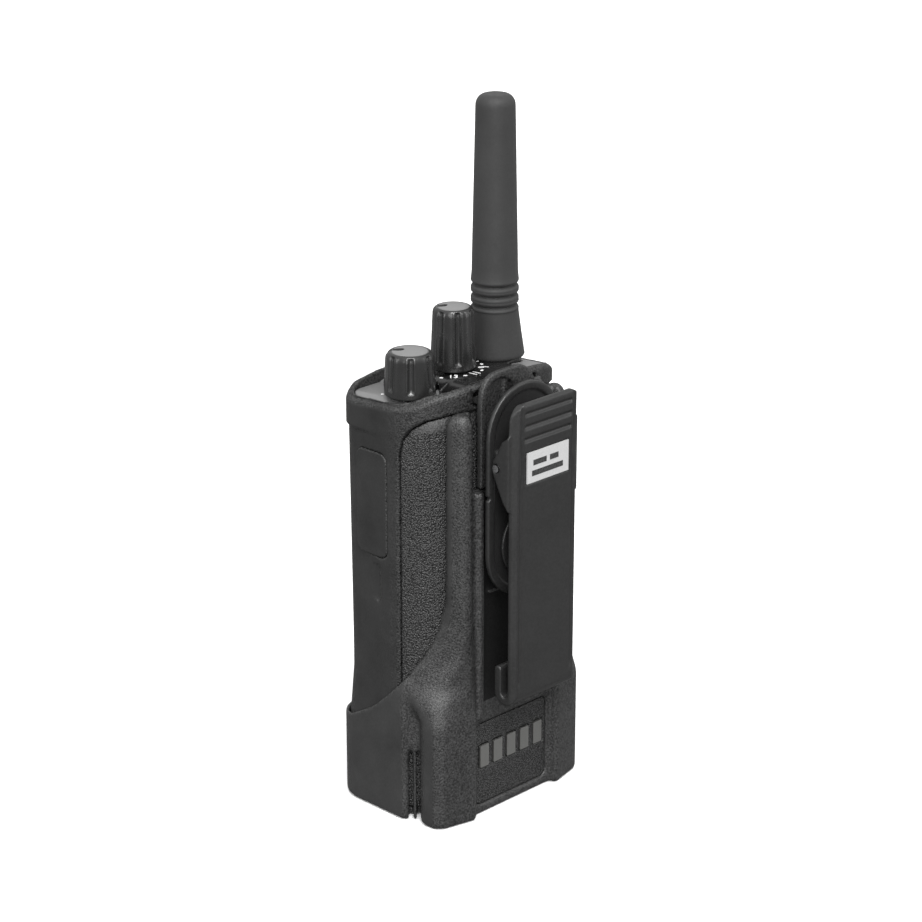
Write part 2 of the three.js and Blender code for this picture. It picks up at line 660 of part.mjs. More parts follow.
// Charger guide slots beside a leg: two slits with a rail left between them
function guideSlots() {
  const slit = block(-0.55, 0.55, -4, 4, -1, 20.6).rotate([0, 0, -45]);
  const middle = [27.6, 8.7];
  const apart = 0.72;
  return slit.translate([middle[0] + apart, middle[1] - apart, 0])
    .add(slit.translate([middle[0] - apart, middle[1] + apart, 0]));
}

function holsterFrame() {
  const leg = legAndArm();
  const web = block(-WEB_HALF_WIDTH - 2, WEB_HALF_WIDTH + 2, 13, WEB_FACE_Y, 0, TAB.root - GAP);
  let body = union(cupShell(), leg, mirrored(leg), web);

  // Raised beads that stiffen the edges of the web
  for (const side of [-1, 1]) {
    const x = side * 12.9;
    body = body.add(alongZ(roundedRect(2.0, 2.4, 0.7, x, WEB_FACE_Y + 0.1), 28, TAB.root - GAP, 0, 2));
  }
  body = body.add(block(-10, 10, WEB_FACE_Y - 1, WEB_FACE_Y + 0.7, 64.2, 65.2));

  // Room for the radio, and the back opened above the tab's root
  body = body.subtract(alongZ(bodyOutline(GAP), CUP_FLOOR, 140, 0, 5));
  body = body.subtract(block(-14.2, 14.2, 5, 30, TAB.root, 140));

  // Contact window, cut through the web; its corners are rounded
  const window = roundedRect(WINDOW.halfWidth * 2, WINDOW.top - WINDOW.bottom, 1.6, 0,
    (WINDOW.top + WINDOW.bottom) / 2);
  body = body.subtract(alongY(window, 10, 30, 0, 3));

  const slots = guideSlots();
  body = body.subtract(slots).subtract(mirrored(slots));

  // Swivel boss on the web
  const boss = barrelY(HUB_R - 2.2, WEB_FACE_Y - 1, PLATE.inner - GAP, 0, HUB_Z, 28);
  return body.add(boss).subtract(barrelY(2.2, 10, 30, 0, HUB_Z, 16));
}

function releaseTab() {
  const { root, halfWidth: w, apex, floor, face } = TAB;
  const arch = new THREE.Shape();
  arch.moveTo(-w, root + GAP);
  arch.lineTo(w, root + GAP);
  arch.lineTo(w, 117);
  arch.bezierCurveTo(w, apex - 2.4, w * 0.78, apex, w * 0.45, apex);
  arch.lineTo(-1.5, apex);
  arch.bezierCurveTo(-4.6, apex, -6.6, 122.4, -7.8, 120);
  arch.bezierCurveTo(-8.6, 118.4, -w, 119.4, -w, 115.5);
  let body = alongY(arch, 16.5, face, 0.4, 5);

  // Thumb hollow under the arch on the volume side, with a rib down its middle
  const hollow = new THREE.Shape();
  const limb = 1.9;
  hollow.moveTo(-0.6, root + 3);
  hollow.lineTo(w - limb, root + 3);
  hollow.lineTo(w - limb, 117);
  hollow.bezierCurveTo(w - limb, apex - 3.4, w * 0.7, apex - limb, w * 0.4, apex - limb);
  hollow.bezierCurveTo(2.0, apex - limb, -0.6, 120.6, -0.6, 116);
  body = body.subtract(alongY(hollow, floor, 30, 0, 5));
  body = body.add(block(2.0, 3.2, floor - 0.2, face - 0.4, 104, apex - 2.2));

  // Hooks that reach into the radio's catch pockets
  for (const side of [-1, 1]) {
    const x = side * 9.6;
    const hook = polygon([[14.0, 116.4], [17.4, 116.2], [17.4, 119.2], [16.6, 119.2], [14.0, 117.8]]);
    body = body.add(alongX(hook, x - 1.6, x + 1.6));
  }
  return body;
}

// ---------------------------------------------------------------- swivel and clip

function stadium(halfWidth, bottom, top) {
  const s = new THREE.Shape();
  s.moveTo(halfWidth, bottom + halfWidth);
  s.lineTo(halfWidth, top - halfWidth);
  s.absarc(0, top - halfWidth, halfWidth, 0, Math.PI);
  s.lineTo(-halfWidth, bottom + halfWidth);
  s.absarc(0, bottom + halfWidth, halfWidth, Math.PI, Math.PI * 2);
  return s;
}

function swivelPlate() {
  const p = PLATE;
  let body = alongY(stadium(p.halfWidth, p.bottom, p.top), p.inner, p.outer, 0.4, 8);
  const inside = stadium(p.halfWidth - p.rim, p.bottom + p.rim, p.top - p.rim);
  body = body.subtract(alongY(inside, p.outer - 0.45, 30, 0, 8));
  for (const side of [-1, 1]) {
    const shape = new THREE.Shape();
    shape.moveTo(p.inner + 0.4, PIVOT.z - 4.2);
    shape.lineTo(PIVOT.y, PIVOT.z - 2.3);
    shape.absarc(PIVOT.y, PIVOT.z, 2.3, -Math.PI / 2, Math.PI / 2);
    shape.lineTo(p.inner + 0.4, PIVOT.z + 4.2);
    const [near, far] = side > 0 ? [LUG.inner, LUG.outer] : [-LUG.outer, -LUG.inner];
    body = body.add(alongX(shape, near, far));
  }
  body = body.subtract(barrelX(PIVOT.boreR, -14, 14, PIVOT.y, PIVOT.z, 16));
  // Hub bore and the notch pair in the rim
  body = body.subtract(barrelY(3.2, 10, 30, 0, HUB_Z, 20));
  for (const side of [-1, 1]) {
    const x = side * 13.4;
    body = body.subtract(block(x - 0.5, x + 0.5, 20, 23.4, 92, 93));
  }
  return body;
}

function swivelRivet() {
  const cap = barrelY(HUB_R, PLATE.outer + GAP, PLATE.outer + 1.2, 0, HUB_Z, 32);
  const shank = barrelY(1.9, 17.0, PLATE.outer + 0.6, 0, HUB_Z, 16);
  return cap.add(shank);
}

function leverSection() {
  const { bottom, top, thick, face, back, bendR } = LEVER;
  const bend = { y: face - bendR, z: bottom + bendR };
  const inner = bendR - thick;
  const lipR = thick / 2;
  const lipTop = 44.6;
  const s = new THREE.Shape();
  // Outer face upwards, then the inner face down to the hook's lip
  s.moveTo(face, bend.z);
  s.lineTo(face, 96);
  s.lineTo(face + 0.2, 107);
  s.lineTo(back, top - 1.4);
  s.absarc(back - 1.0, top - 1.0, 1.0, 0, Math.PI / 2);
  s.lineTo(back - thick, top - 0.6);
  s.lineTo(face - thick + 0.2, 107);
  s.lineTo(face - thick, 96);
  s.lineTo(face - thick, bend.z);
  s.absarc(bend.y, bend.z, inner, 0, -Math.PI, true);
  s.lineTo(bend.y - inner, lipTop);
  s.absarc(bend.y - inner - lipR, lipTop, lipR, 0, Math.PI);
  s.lineTo(face - 2 * bendR, bend.z);
  s.absarc(bend.y, bend.z, bendR, Math.PI, Math.PI * 2);
  return s;
}

// The lever is drawn closed, at its own place
function clipLever() {
  const l = LEVER;
  let body = alongX(leverSection(), -l.halfWidth - 0.5, l.halfWidth + 0.5, 0, 5);
  const front = new THREE.Shape();
  const r = 5;
  const wide = l.halfWidth + 0.4;
  front.moveTo(-l.halfWidth, l.bottom - 2);
  front.lineTo(l.halfWidth, l.bottom - 2);
  front.lineTo(l.halfWidth, 92);
  front.lineTo(wide, 100);
  front.lineTo(wide, l.top - r);
  front.absarc(wide - r, l.top - r, r, 0, Math.PI / 2);
  front.lineTo(-wide + r, l.top);
  front.absarc(-wide + r, l.top - r, r, Math.PI / 2, Math.PI);
  front.lineTo(-wide, 100);
  front.lineTo(-l.halfWidth, 92);
  body = body.intersect(alongY(front, 15, 40, 0, 5));

  // Sloped borders down both sides of the outer face
  const slope = polygon([
    [l.flat, 31.6], [l.flat, l.face + 0.25], [l.halfWidth + 0.6, 28.5], [14, 28.5], [14, 31.6],
  ]);
  const border = alongZ(slope, l.bottom - 1, l.top + 1);
  body = body.subtract(border).subtract(mirrored(border));

  // Thumb grooves
  for (const z of THUMB_GROOVES_Z) {
    const y = l.back + 0.05 - (THUMB_GROOVES_Z[0] - z) * 0.03;
    body = body.subtract(barrelX(0.7, -8.9, 8.9, y, z, 10));
  }
  // Seat of the label
  body = body.subtract(block(-8.1, 8.1, l.face - 0.4, 33, 97.0, 106.0));

  // Ears that carry the pivot pin
  const ear = polygon([
    [28.9, 111], [26.4, 109], [24.6, 105.6], [23.2, 103.2], [22.9, 101.4], [23.2, 99.6],
    [24.8, 96.4], [26.8, 92.4], [28.9, 90],
  ]);
  for (const side of [-1, 1]) {
    const [near, far] = side > 0 ? [EAR.inner, EAR.outer] : [-EAR.outer, -EAR.inner];
    body = body.add(alongX(ear, near, far, 0.3, 2));
  }
  return body.subtract(barrelX(PIVOT.boreR, -14, 14, PIVOT.y, PIVOT.z, 16));
}

function clipLabel() {
  return block(-7.8, 7.8, LEVER.face - 0.1, LEVER.face + 0.3, 97.3, 105.7);
}

function pivotPin() {
  return barrelX(PIVOT.pinR, -13.3, 13.3, 0, 0, 16);
}

// Helical torsion spring round the pin, its legs against the plate and the lever
class SpringPath extends THREE.Curve {
  getPoint(t, target = new THREE.Vector3()) {
    const turns = 4;
    const angle = -Math.PI / 2 + t * turns * 2 * Math.PI;
    return target.set(-5 + 10 * t, 1.75 * Math.cos(angle), 1.75 * Math.sin(angle));
  }
}

function torsionSpring() {
  const section = new THREE.Shape();
  const wire = 0.35;
  for (let i = 0; i < 6; i += 1) {
    const a = i * Math.PI / 3;
    const point = [wire * Math.cos(a), wire * Math.sin(a)];
    if (i === 0) section.moveTo(...point);
    else section.lineTo(...point);
  }
  const extrudePath = new SpringPath();
  return solid(new THREE.ExtrudeGeometry(section, { steps: 48, extrudePath, bevelEnabled: false }));
}

// ---------------------------------------------------------------- assembly

function place(parent, name, body, look, x = 0, y = 0, z = 0) {
  const mesh = new THREE.Mesh(geometryOf(body), look);
  mesh.name = name;
  mesh.position.set(x, y, z);
  parent.add(mesh);
}

const radio = new THREE.Group();
place(radio, 'front_housing', frontHousing(), housingPlastic);
place(radio, 'battery_door', batteryDoor(), doorPlastic);
place(radio, 'top_panel', topPanel(), panelPlastic);
place(radio, 'dial_plate', dialPlate(), glossPlastic);
for (const [label, knob] of [['volume', VOLUME], ['channel', CHANNEL]]) {
  place(radio, `${label}_knob`, knobBody(knob), knobPlastic, knob.x, 0, knob.base);
  place(radio, `${label}_knob_cap`, knobCap(knob), knobCapPlastic, knob.x, 0, knob.base);
  place(radio, `${label}_shaft`, controlShaft(knob), brass, knob.x);
}
place(radio, 'volume_potentiometer', controlBody(8.8, 10, 103.6), magnesium, VOLUME.x);
place(radio, 'channel_switch', controlBody(11, 11, 102.4), magnesium, CHANNEL.x);
place(radio, 'antenna_sheath', antennaSheath(), antennaRubber, ANTENNA.x);
place(radio, 'antenna_socket', antennaSocket(), brass, ANTENNA.x);
place(radio, 'antenna_radiator', post(1.1, 116.6, 182, 0, 0, 10), steel, ANTENNA.x);
place(radio, 'ptt_button', talkBar(), buttonRubber);
SIDE_KEYS_Z.forEach((z, i) => place(radio, `side_button_${i + 1}`, sideKey(z), buttonRubber));
place(radio, 'side_switch_board', switchBoard(), boardGlass);
place(radio, 'accessory_cover', accessoryCover(), housingPlastic);
place(radio, 'accessory_jack', accessoryJack(), glossPlastic);
place(radio, 'status_led_lens', post(1.4, 112, 117.9, 13, -12.6, 12), labelFoil);
place(radio, 'chassis_plate', chassisPlate(), magnesium);
CHASSIS_SCREWS.forEach(([x, z], i) => {
  place(radio, `chassis_screw_${i + 1}`, chassisScrew(), steel, x, 0, z);
});
place(radio, 'main_board', mainBoard(), boardGlass);
place(radio, 'shield_can', shieldCan(), magnesium);
place(radio, 'speaker', speakerDriver(), magnesium);
place(radio, 'speaker_cloth', barrelY(18.6, -17.1, -16.5, 0, 77, 32), clothBlack);
place(radio, 'microphone', microphone(), steel);
place(radio, 'battery_pack', batteryPack(), batteryWrap);
place(radio, 'contact_block', contactBlock(), doorPlastic);
CONTACT_X.forEach((x, i) => {
  place(radio, `charging_contact_${i + 1}`, chargingContact(), padPlating, x, 0, 16.7);
});

const holster = new THREE.Group();
place(holster, 'holster_frame', holsterFrame(), holsterPlastic);
place(holster, 'release_tab', releaseTab(), holsterPlastic);
place(holster, 'swivel_rivet', swivelRivet(), clipPlastic);

const clip = new THREE.Group();
place(clip, 'swivel_plate', swivelPlate(), clipPlastic);
place(clip, 'clip_lever', clipLever(), clipPlastic);
place(clip, 'clip_label', clipLabel(), labelFoil);
place(clip, 'pivot_pin', pivotPin(), steel, 0, PIVOT.y, PIVOT.z);
place(clip, 'torsion_spring', torsionSpring(), steel, 0, PIVOT.y, PIVOT.z);
holster.add(clip);

const portableRadio = new THREE.Group();
portableRadio.add(radio, holster);
portableRadio.position.y = -(CUP_FRONT_Y + LEVER.back) / 2;

export default portableRadio;
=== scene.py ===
# Looks of the portable radio in its belt-clip holster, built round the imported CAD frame.
# Metres, +Z up; +X is the volume-knob side, -Y the speaker side, +Y the belt-clip side.

import json
import math

import bpy
import numpy as np
from mathutils import Matrix, Vector


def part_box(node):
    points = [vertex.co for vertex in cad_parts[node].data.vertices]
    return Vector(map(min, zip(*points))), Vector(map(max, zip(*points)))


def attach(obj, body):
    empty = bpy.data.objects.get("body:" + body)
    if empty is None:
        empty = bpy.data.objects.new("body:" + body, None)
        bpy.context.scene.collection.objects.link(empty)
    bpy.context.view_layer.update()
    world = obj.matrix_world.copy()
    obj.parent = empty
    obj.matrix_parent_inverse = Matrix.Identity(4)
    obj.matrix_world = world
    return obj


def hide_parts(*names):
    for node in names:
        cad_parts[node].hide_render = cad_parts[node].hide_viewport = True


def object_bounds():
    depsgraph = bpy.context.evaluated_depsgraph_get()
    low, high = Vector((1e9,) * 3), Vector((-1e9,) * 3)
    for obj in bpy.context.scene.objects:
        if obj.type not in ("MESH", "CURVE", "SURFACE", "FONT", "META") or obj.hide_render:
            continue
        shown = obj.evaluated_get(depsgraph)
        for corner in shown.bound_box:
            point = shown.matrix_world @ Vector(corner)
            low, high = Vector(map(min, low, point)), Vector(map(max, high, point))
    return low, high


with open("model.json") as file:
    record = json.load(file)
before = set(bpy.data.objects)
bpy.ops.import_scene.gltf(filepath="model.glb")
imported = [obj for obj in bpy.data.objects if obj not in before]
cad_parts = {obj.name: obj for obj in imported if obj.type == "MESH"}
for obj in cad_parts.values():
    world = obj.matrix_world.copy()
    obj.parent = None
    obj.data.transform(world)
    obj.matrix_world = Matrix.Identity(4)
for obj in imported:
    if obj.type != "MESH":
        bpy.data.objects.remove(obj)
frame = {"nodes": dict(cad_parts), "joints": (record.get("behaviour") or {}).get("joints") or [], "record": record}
NODES = frame["nodes"]
RECORD = frame["record"]
CAD_LOW, CAD_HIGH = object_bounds()
MM = 0.001

BODY_OF = {node: body for body, nodes in RECORD["behaviour"]["bodies"].items() for node in nodes}
SLOT_OF = {part["node"]: part["material_slot"] for part in RECORD["subparts"]}
JOINT_AT = {joint["child"]: Vector(joint.get("pos_m", (0, 0, 0))) for joint in frame["joints"]}
ROW_Y = JOINT_AT["channel_control"].y          # the knob row; the radio's own Y = 0
TOP_TILT = 4.2                                 # degrees the top falls towards the front
TOP_FALL = math.tan(math.radians(TOP_TILT))    # the same as a slope

# ---------------------------------------------------------------- camera

CAMERA_PLACE = Vector((0.48939, 0.47666, 0.34401))
CAMERA_HEADING = 45.41          # degrees between the view and the -Y axis, towards -X
CAMERA_PITCH = 20.02            # degrees looking down
CAMERA_LENS = 106.84
SENSOR = 36.0


def make_camera():
    data = bpy.data.cameras.new("camera")
    data.lens = CAMERA_LENS
    data.sensor_width = SENSOR
    data.clip_start = 0.01
    data.clip_end = 20
    camera = bpy.data.objects.new("camera", data)
    bpy.context.collection.objects.link(camera)
    heading, pitch = math.radians(CAMERA_HEADING), math.radians(CAMERA_PITCH)
    level = math.cos(pitch)
    ahead = Vector((-math.sin(heading) * level, -math.cos(heading) * level, -math.sin(pitch)))
    camera.rotation_mode = "QUATERNION"
    camera.rotation_quaternion = ahead.to_track_quat("-Z", "Y")
    camera.location = CAMERA_PLACE
    bpy.context.scene.camera = camera


make_camera()

# ---------------------------------------------------------------- materials

SMOOTH_BELOW = 0.3             # materials with less painted glint than this are smooth all over
SIDE_GRAIN_AND_GLINT = 0.12              # share of the grain's bump and its painted glint that is left where a surface faces sideways
SIDE_COSINES = (0.93, 0.995)   # how squarely it has to face sideways, from no effect to full
CLOUD_SCALE = 70               # slow unevenness of a moulded surface
GLINT_SHARE = 0.8              # painted glint of the fine grain, and slow unevenness, in a moulded colour
CLOUD_SHARE = 0.2
BAND_FADE = (5.5, 4.0)         # the door's pebble fades out between these depths under its top, mm
BAND_PEBBLE = 0.15             # share of the pebble left above that
BRUSH_STRETCH = 12             # how much a metal's noise is drawn out


class Look:
    """A Principled material with helpers for its procedural nodes."""

    def __init__(self, name, color, roughness, metallic=0.0, specular=0.5, coat=0.0):
        self.material = bpy.data.materials.new(name)
        self.material.use_nodes = True
        self.tree = self.material.node_tree
        self.shader = self.tree.nodes["Principled BSDF"]
        self.shader.inputs["Base Color"].default_value = (*color, 1)
        self.shader.inputs["Roughness"].default_value = roughness
        self.shader.inputs["Metallic"].default_value = metallic
        self.shader.inputs["Specular IOR Level"].default_value = specular
        self.shader.inputs["Coat Weight"].default_value = coat
        self.place = self.tree.nodes.new("ShaderNodeTexCoord").outputs["Object"]

    def link(self, source, target):
        self.tree.links.new(source, target)

    def noise(self, scale, detail=2.0, rough=0.5):
        node = self.tree.nodes.new("ShaderNodeTexNoise")
        node.inputs["Scale"].default_value = scale
        node.inputs["Detail"].default_value = detail
        node.inputs["Roughness"].default_value = rough
        self.link(self.place, node.inputs["Vector"])
        return node.outputs["Fac"]

    def cells(self, scale, smoothness=0.6):
        node = self.tree.nodes.new("ShaderNodeTexVoronoi")
        node.feature = "SMOOTH_F1"
        node.inputs["Scale"].default_value = scale
        node.inputs["Smoothness"].default_value = smoothness
        self.link(self.place, node.inputs["Vector"])
        return node.outputs["Distance"]

    def math(self, operation, a, b):
        node = self.tree.nodes.new("ShaderNodeMath")
        node.operation = operation
        for socket, value in zip(node.inputs, (a, b)):
            if isinstance(value, (int, float)):
                socket.default_value = value
            else:
                self.link(value, socket)
        return node.outputs[0]

    def ramp(self, value, low, high, start=0.0, end=1.0):
        node = self.tree.nodes.new("ShaderNodeMapRange")
        node.inputs["From Min"].default_value = start
        node.inputs["From Max"].default_value = end
        node.inputs["To Min"].default_value = low
        node.inputs["To Max"].default_value = high
        self.link(value, node.inputs["Value"])
        return node.outputs["Result"]

    def roughness(self, value, low, high, start=0.3, end=0.7):
        self.link(self.ramp(value, low, high, start, end), self.shader.inputs["Roughness"])

    def colour(self, value, dark, light, start=0.3, end=0.7):
        node = self.tree.nodes.new("ShaderNodeMix")
        node.data_type = "RGBA"
        node.inputs["A"].default_value = (*dark, 1)
        node.inputs["B"].default_value = (*light, 1)
        self.link(self.ramp(value, 0, 1, start, end), node.inputs["Factor"])
        self.link(node.outputs["Result"], self.shader.inputs["Base Color"])

    def bump(self, height, depth_mm, strength=1.0):
        node = self.tree.nodes.new("ShaderNodeBump")
        node.inputs["Strength"].default_value = strength
        node.inputs["Distance"].default_value = depth_mm * MM
        self.link(height, node.inputs["Height"])
        self.link(node.outputs["Normal"], self.shader.inputs["Normal"])

    def away_from_side(self):
        """0 where the surface faces squarely to +X or -X, 1 where it turns away from that."""
        facing = self.tree.nodes.new("ShaderNodeSeparateXYZ")
        self.link(self.tree.nodes.new("ShaderNodeTexCoord").outputs["Normal"], facing.inputs[0])
        sideways = self.math("ABSOLUTE", facing.outputs["X"], 0)
        return self.ramp(sideways, 1, SIDE_GRAIN_AND_GLINT, *SIDE_COSINES)

    def height_of_z(self, low_z, high_z):
        """0 below low_z and 1 above high_z, in the frame's metres."""
        split = self.tree.nodes.new("ShaderNodeSeparateXYZ")
        self.link(self.place, split.inputs[0])
        return self.ramp(split.outputs["Z"], 0, 1, low_z, high_z)


def grey(value, warm=0.0):
    return (value * (1 + warm), value, value * (1 - warm))


def moulded(name, tone, roughness, grain, depth_mm, painted_glint=0.5, specular=0.5):
    """Spark-eroded moulded plastic: a fine grain that catches the light, uneven in shine. Its colour has painted
    glints on the grain's raised points and painted shade in its dips.
    """
    look = Look(name, grey(tone), roughness, specular=specular)
    fine = look.noise(grain, 2, 0.6)
    cloud = look.noise(CLOUD_SCALE, 4, 0.6)
    # on sideways faces the grain's bump and its painted glint are weakened
    if painted_glint > SMOOTH_BELOW:
        even = look.math("SUBTRACT", fine, 0.5)
        fine = look.math("ADD", look.math("MULTIPLY", even, look.away_from_side()), 0.5)
    fine_part = look.math("MULTIPLY", fine, GLINT_SHARE)
    glint_and_unevenness = look.math("ADD", fine_part, look.math("MULTIPLY", cloud, CLOUD_SHARE))
    # painted glint on the grain's raised points and painted shade in its dips, mixed with slow unevenness
    look.colour(glint_and_unevenness, grey(tone * (1 - painted_glint)), grey(tone * (1 + 1.7 * painted_glint)), 0.38, 0.66)
    look.roughness(cloud, roughness - 0.05, roughness + 0.07)
    look.bump(fine, depth_mm)
    return look


def pebbled(name, tone):
    """The battery door's leather-like pebble, fading to smooth on the sloped band at its top. Its colour has a
    painted highlight on the pebble tops and painted shade in the creases between them, on the band too.
    """
    look = Look(name, grey(tone), 0.5)
    pebbles = look.cells(2300, 0.2)
    fine_noise = look.noise(2600, 2, 0.6)
    rounded = look.math("MULTIPLY", pebbles, -1.2)
    relief = look.math("ADD", rounded, look.math("MULTIPLY", fine_noise, 1.0))
    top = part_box("battery_door")[1].z
    on_band = look.height_of_z(top - BAND_FADE[0] * MM, top - BAND_FADE[1] * MM)
    fade = look.ramp(on_band, 1.0, BAND_PEBBLE)
    look.bump(look.math("MULTIPLY", relief, fade), 0.24)
    look.roughness(fine_noise, 0.30, 0.55)
    # painted highlight on the pebble tops, painted shade in the creases between them
    look.colour(relief, grey(tone * 0.3), grey(tone * 2.6), -0.35, 0.30)
    return look


def glossy(name, tone, roughness, coat=0.25):
    look = Look(name, grey(tone), roughness, coat=coat)
    look.shader.inputs["Coat Roughness"].default_value = 0.12
    smear = look.noise(220, 4, 0.6)
    look.roughness(smear, roughness * 0.75, roughness * 1.35)
    look.bump(look.noise(900, 2, 0.5), 0.004)
    return look


def rubbery(name, tone):
    look = Look(name, grey(tone), 0.62, specular=0.42)
    look.shader.inputs["Sheen Weight"].default_value = 0.04
    look.colour(look.noise(90, 4, 0.6), grey(tone * 0.88), grey(tone * 1.15))
    look.roughness(look.noise(700, 3, 0.6), 0.55, 0.72)
    look.bump(look.noise(2400, 3, 0.6), 0.018)
    return look


def metal(name, colour, roughness, brushed=0.01):
    look = Look(name, colour, roughness, metallic=1.0)
    stretch = look.tree.nodes.new("ShaderNodeMapping")
    stretch.inputs["Scale"].default_value = (1, 1, BRUSH_STRETCH)
    look.link(look.place, stretch.inputs["Vector"])
    look.place = stretch.outputs["Vector"]
    hair = look.noise(1200, 3, 0.7)
    look.roughness(hair, roughness * 0.8, roughness * 1.3)
    look.bump(hair, brushed)
    return look


def panel_paint(name, tone):
    look = Look(name, grey(tone), 0.38, coat=0.15)
    look.colour(look.noise(2500, 2, 0.5), grey(tone * 0.94), grey(tone * 1.05))
    look.bump(look.noise(3200, 2, 0.5), 0.006)
    return look


def woven(name, tone):
    look = Look(name, grey(tone), 0.95)
    look.bump(look.cells(2400, 0.2), 0.12)
    return look


def circuit(name):
    look = Look(name, (0.01, 0.09, 0.04), 0.45)
    look.colour(look.cells(420, 0.1), (0.008, 0.07, 0.03), (0.02, 0.14, 0.06), 0.2, 0.5)
    return look


def build_looks():
    return {
        "housing": moulded("housing", 0.016, 0.45, 2000, 0.26, 0.95),
        "door": pebbled("door", 0.018),
        "holster": moulded("holster", 0.024, 0.43, 2000, 0.17, 0.7),
        "clip": moulded("clip", 0.018, 0.36, 1500, 0.012, 0.12),
        "gloss_black": glossy("gloss_black", 0.005, 0.25, coat=0.3),
        "knob": glossy("knob", 0.014, 0.27, coat=0.3),
        "knob_cap": panel_paint("knob_cap", 0.165),
        "panel": panel_paint("panel", 0.15),
        "antenna_rubber": rubbery("antenna_rubber", 0.026),
        "button_rubber": rubbery("button_rubber", 0.018),
        "steel": metal("steel", (0.50, 0.50, 0.51), 0.25),
        "brass": metal("brass", (0.60, 0.43, 0.18), 0.3),
        "magnesium": metal("magnesium", (0.42, 0.43, 0.44), 0.5, 0.03),
        "pad": metal("pad", (0.31, 0.31, 0.30), 0.5, 0.02),
        "label": panel_paint("label", 0.50),
        "lens": glossy("lens", 0.35, 0.2),
        "board": circuit("board"),
        "battery_wrap": moulded("battery_wrap", 0.05, 0.45, 900, 0.02),
        "cloth": woven("cloth", 0.012),
        # painted shade for the deep channel behind the lever
        "recess": moulded("recess", 0.006, 0.6, 2000, 0.05, 0.2, specular=0.2),
        "ink": moulded("ink", 0.03, 0.6, 2000, 0.004),
        "pit": moulded("pit", 0.004, 0.7, 2000, 0.004),
        "paint_white": moulded("paint_white", 0.75, 0.5, 2600, 0.006, 0.1),
    }


LOOKS = build_looks()


def dress(piece, *slots):
    piece.data.materials.clear()
    for slot in slots:
        piece.data.materials.append(LOOKS[slot].material)


# ---------------------------------------------------------------- mesh helpers

# faces of a box whose corners are listed by y, then z, then x
BOX_FACES = [(0, 1, 3, 2), (5, 4, 6, 7), (0, 4, 5, 1), (2, 3, 7, 6), (0, 2, 6, 4), (1, 5, 7, 3)]


def new_piece(name, points_mm, faces, body, slot, node=None):
    """A smooth-shaded piece from points in the radio's own millimetres (knob row at Y = 0)."""
    mesh = bpy.data.meshes.new(name)
    place = [(x * MM, y * MM + ROW_Y, z * MM) for x, y, z in points_mm]
    mesh.from_pydata(place, [], faces)
    mesh.shade_smooth()
    mesh.update()
    piece = bpy.data.objects.new(name, mesh)
    bpy.context.collection.objects.link(piece)
    dress(piece, slot)
    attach(piece, body)
    if node:
        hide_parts(node)
    return piece


def grid_faces(rings, count):
    """Quads between successive closed rings of `count` points."""
    faces = []
    for ring in range(rings - 1):
        for i in range(count):
            a, b = ring * count + i, ring * count + (i + 1) % count
            faces.append((a, b, b + count, a + count))
    return faces


def circle(count):
    """Angles of `count` places evenly round a circle."""
    return np.linspace(0, 2 * math.pi, count, endpoint=False)


def closed_skin(rings):
    """Points and faces of a skin through closed rings, with a fan on each end."""
    count = len(rings[0])
    points = [point for ring in rings for point in ring]
    faces = grid_faces(len(rings), count)
    for ring, order in ((0, -1), (len(rings) - 1, 1)):
        middle = tuple(np.mean(rings[ring], axis=0))
        points.append(middle)
        centre = len(points) - 1
        for i in range(count):
            a, b = ring * count + i, ring * count + (i + 1) % count
            faces.append((a, b, centre) if order > 0 else (b, a, centre))
    return points, faces


def coordinates(mesh):
    flat = np.empty(len(mesh.vertices) * 3)
    mesh.vertices.foreach_get("co", flat)
    return flat.reshape(-1, 3)


def resurface(node, voxel_mm, smooth, shape=None):
    """A fine, softly rounded copy of a CAD node, optionally reshaped by shape(points in mm)."""
    piece = bpy.data.objects.new(node + "_skin", NODES[node].data.copy())
    bpy.context.collection.objects.link(piece)
    remesh = piece.modifiers.new("remesh", "REMESH")
    remesh.mode = "VOXEL"
    remesh.voxel_size = voxel_mm * MM
    remesh.adaptivity = 0
    soften = piece.modifiers.new("soften", "SMOOTH")
    soften.factor = 0.5
    soften.iterations = smooth
    bpy.context.view_layer.update()
    ready = piece.evaluated_get(bpy.context.evaluated_depsgraph_get())
    mesh = bpy.data.meshes.new_from_object(ready)
    piece.modifiers.clear()
    piece.data = mesh
    if shape:
        points = coordinates(mesh) / MM
        points[:, 1] -= ROW_Y / MM
        points = shape(points)
        points[:, 1] += ROW_Y / MM
        mesh.vertices.foreach_set("co", (points * MM).ravel())
    mesh.shade_smooth()
    mesh.update()
    dress(piece, SLOT_OF[node])
    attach(piece, BODY_OF[node])
    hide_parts(node)
    return piece


# ---------------------------------------------------------------- radio: reshaping the casings

# the casings' plan outline, mm: centre and radius of the back and front corners, and the flat
# crown that joins the back corners
BACK_X, BACK_Y, BACK_R = 11.5, -2.0, 17.0
FRONT_X, FRONT_Y, FRONT_R = 21.5, -12.5, 7.0
CROWN_R = 75.0
CROWN_Y = BACK_Y - math.sqrt((CROWN_R - BACK_R) ** 2 - BACK_X ** 2)
CROWN_FROM_Y = 5
STRAY = 0.6                    # points further outside the outline than this are left alone

RIM_X = [-28.2, -24, -20, -14, -7, 5, 14, 22, 25.4, 28.2]
RIM_Z = [116.3, 117.7, 119.3, 120.5, 121.2, 121.2, 120.8, 119.6, 117.8, 116.8]
RIM_Y = 9                      # RIM_Z is the rim's height at this Y
RIM_ROUND = 1.7                # radius of the rim's edge

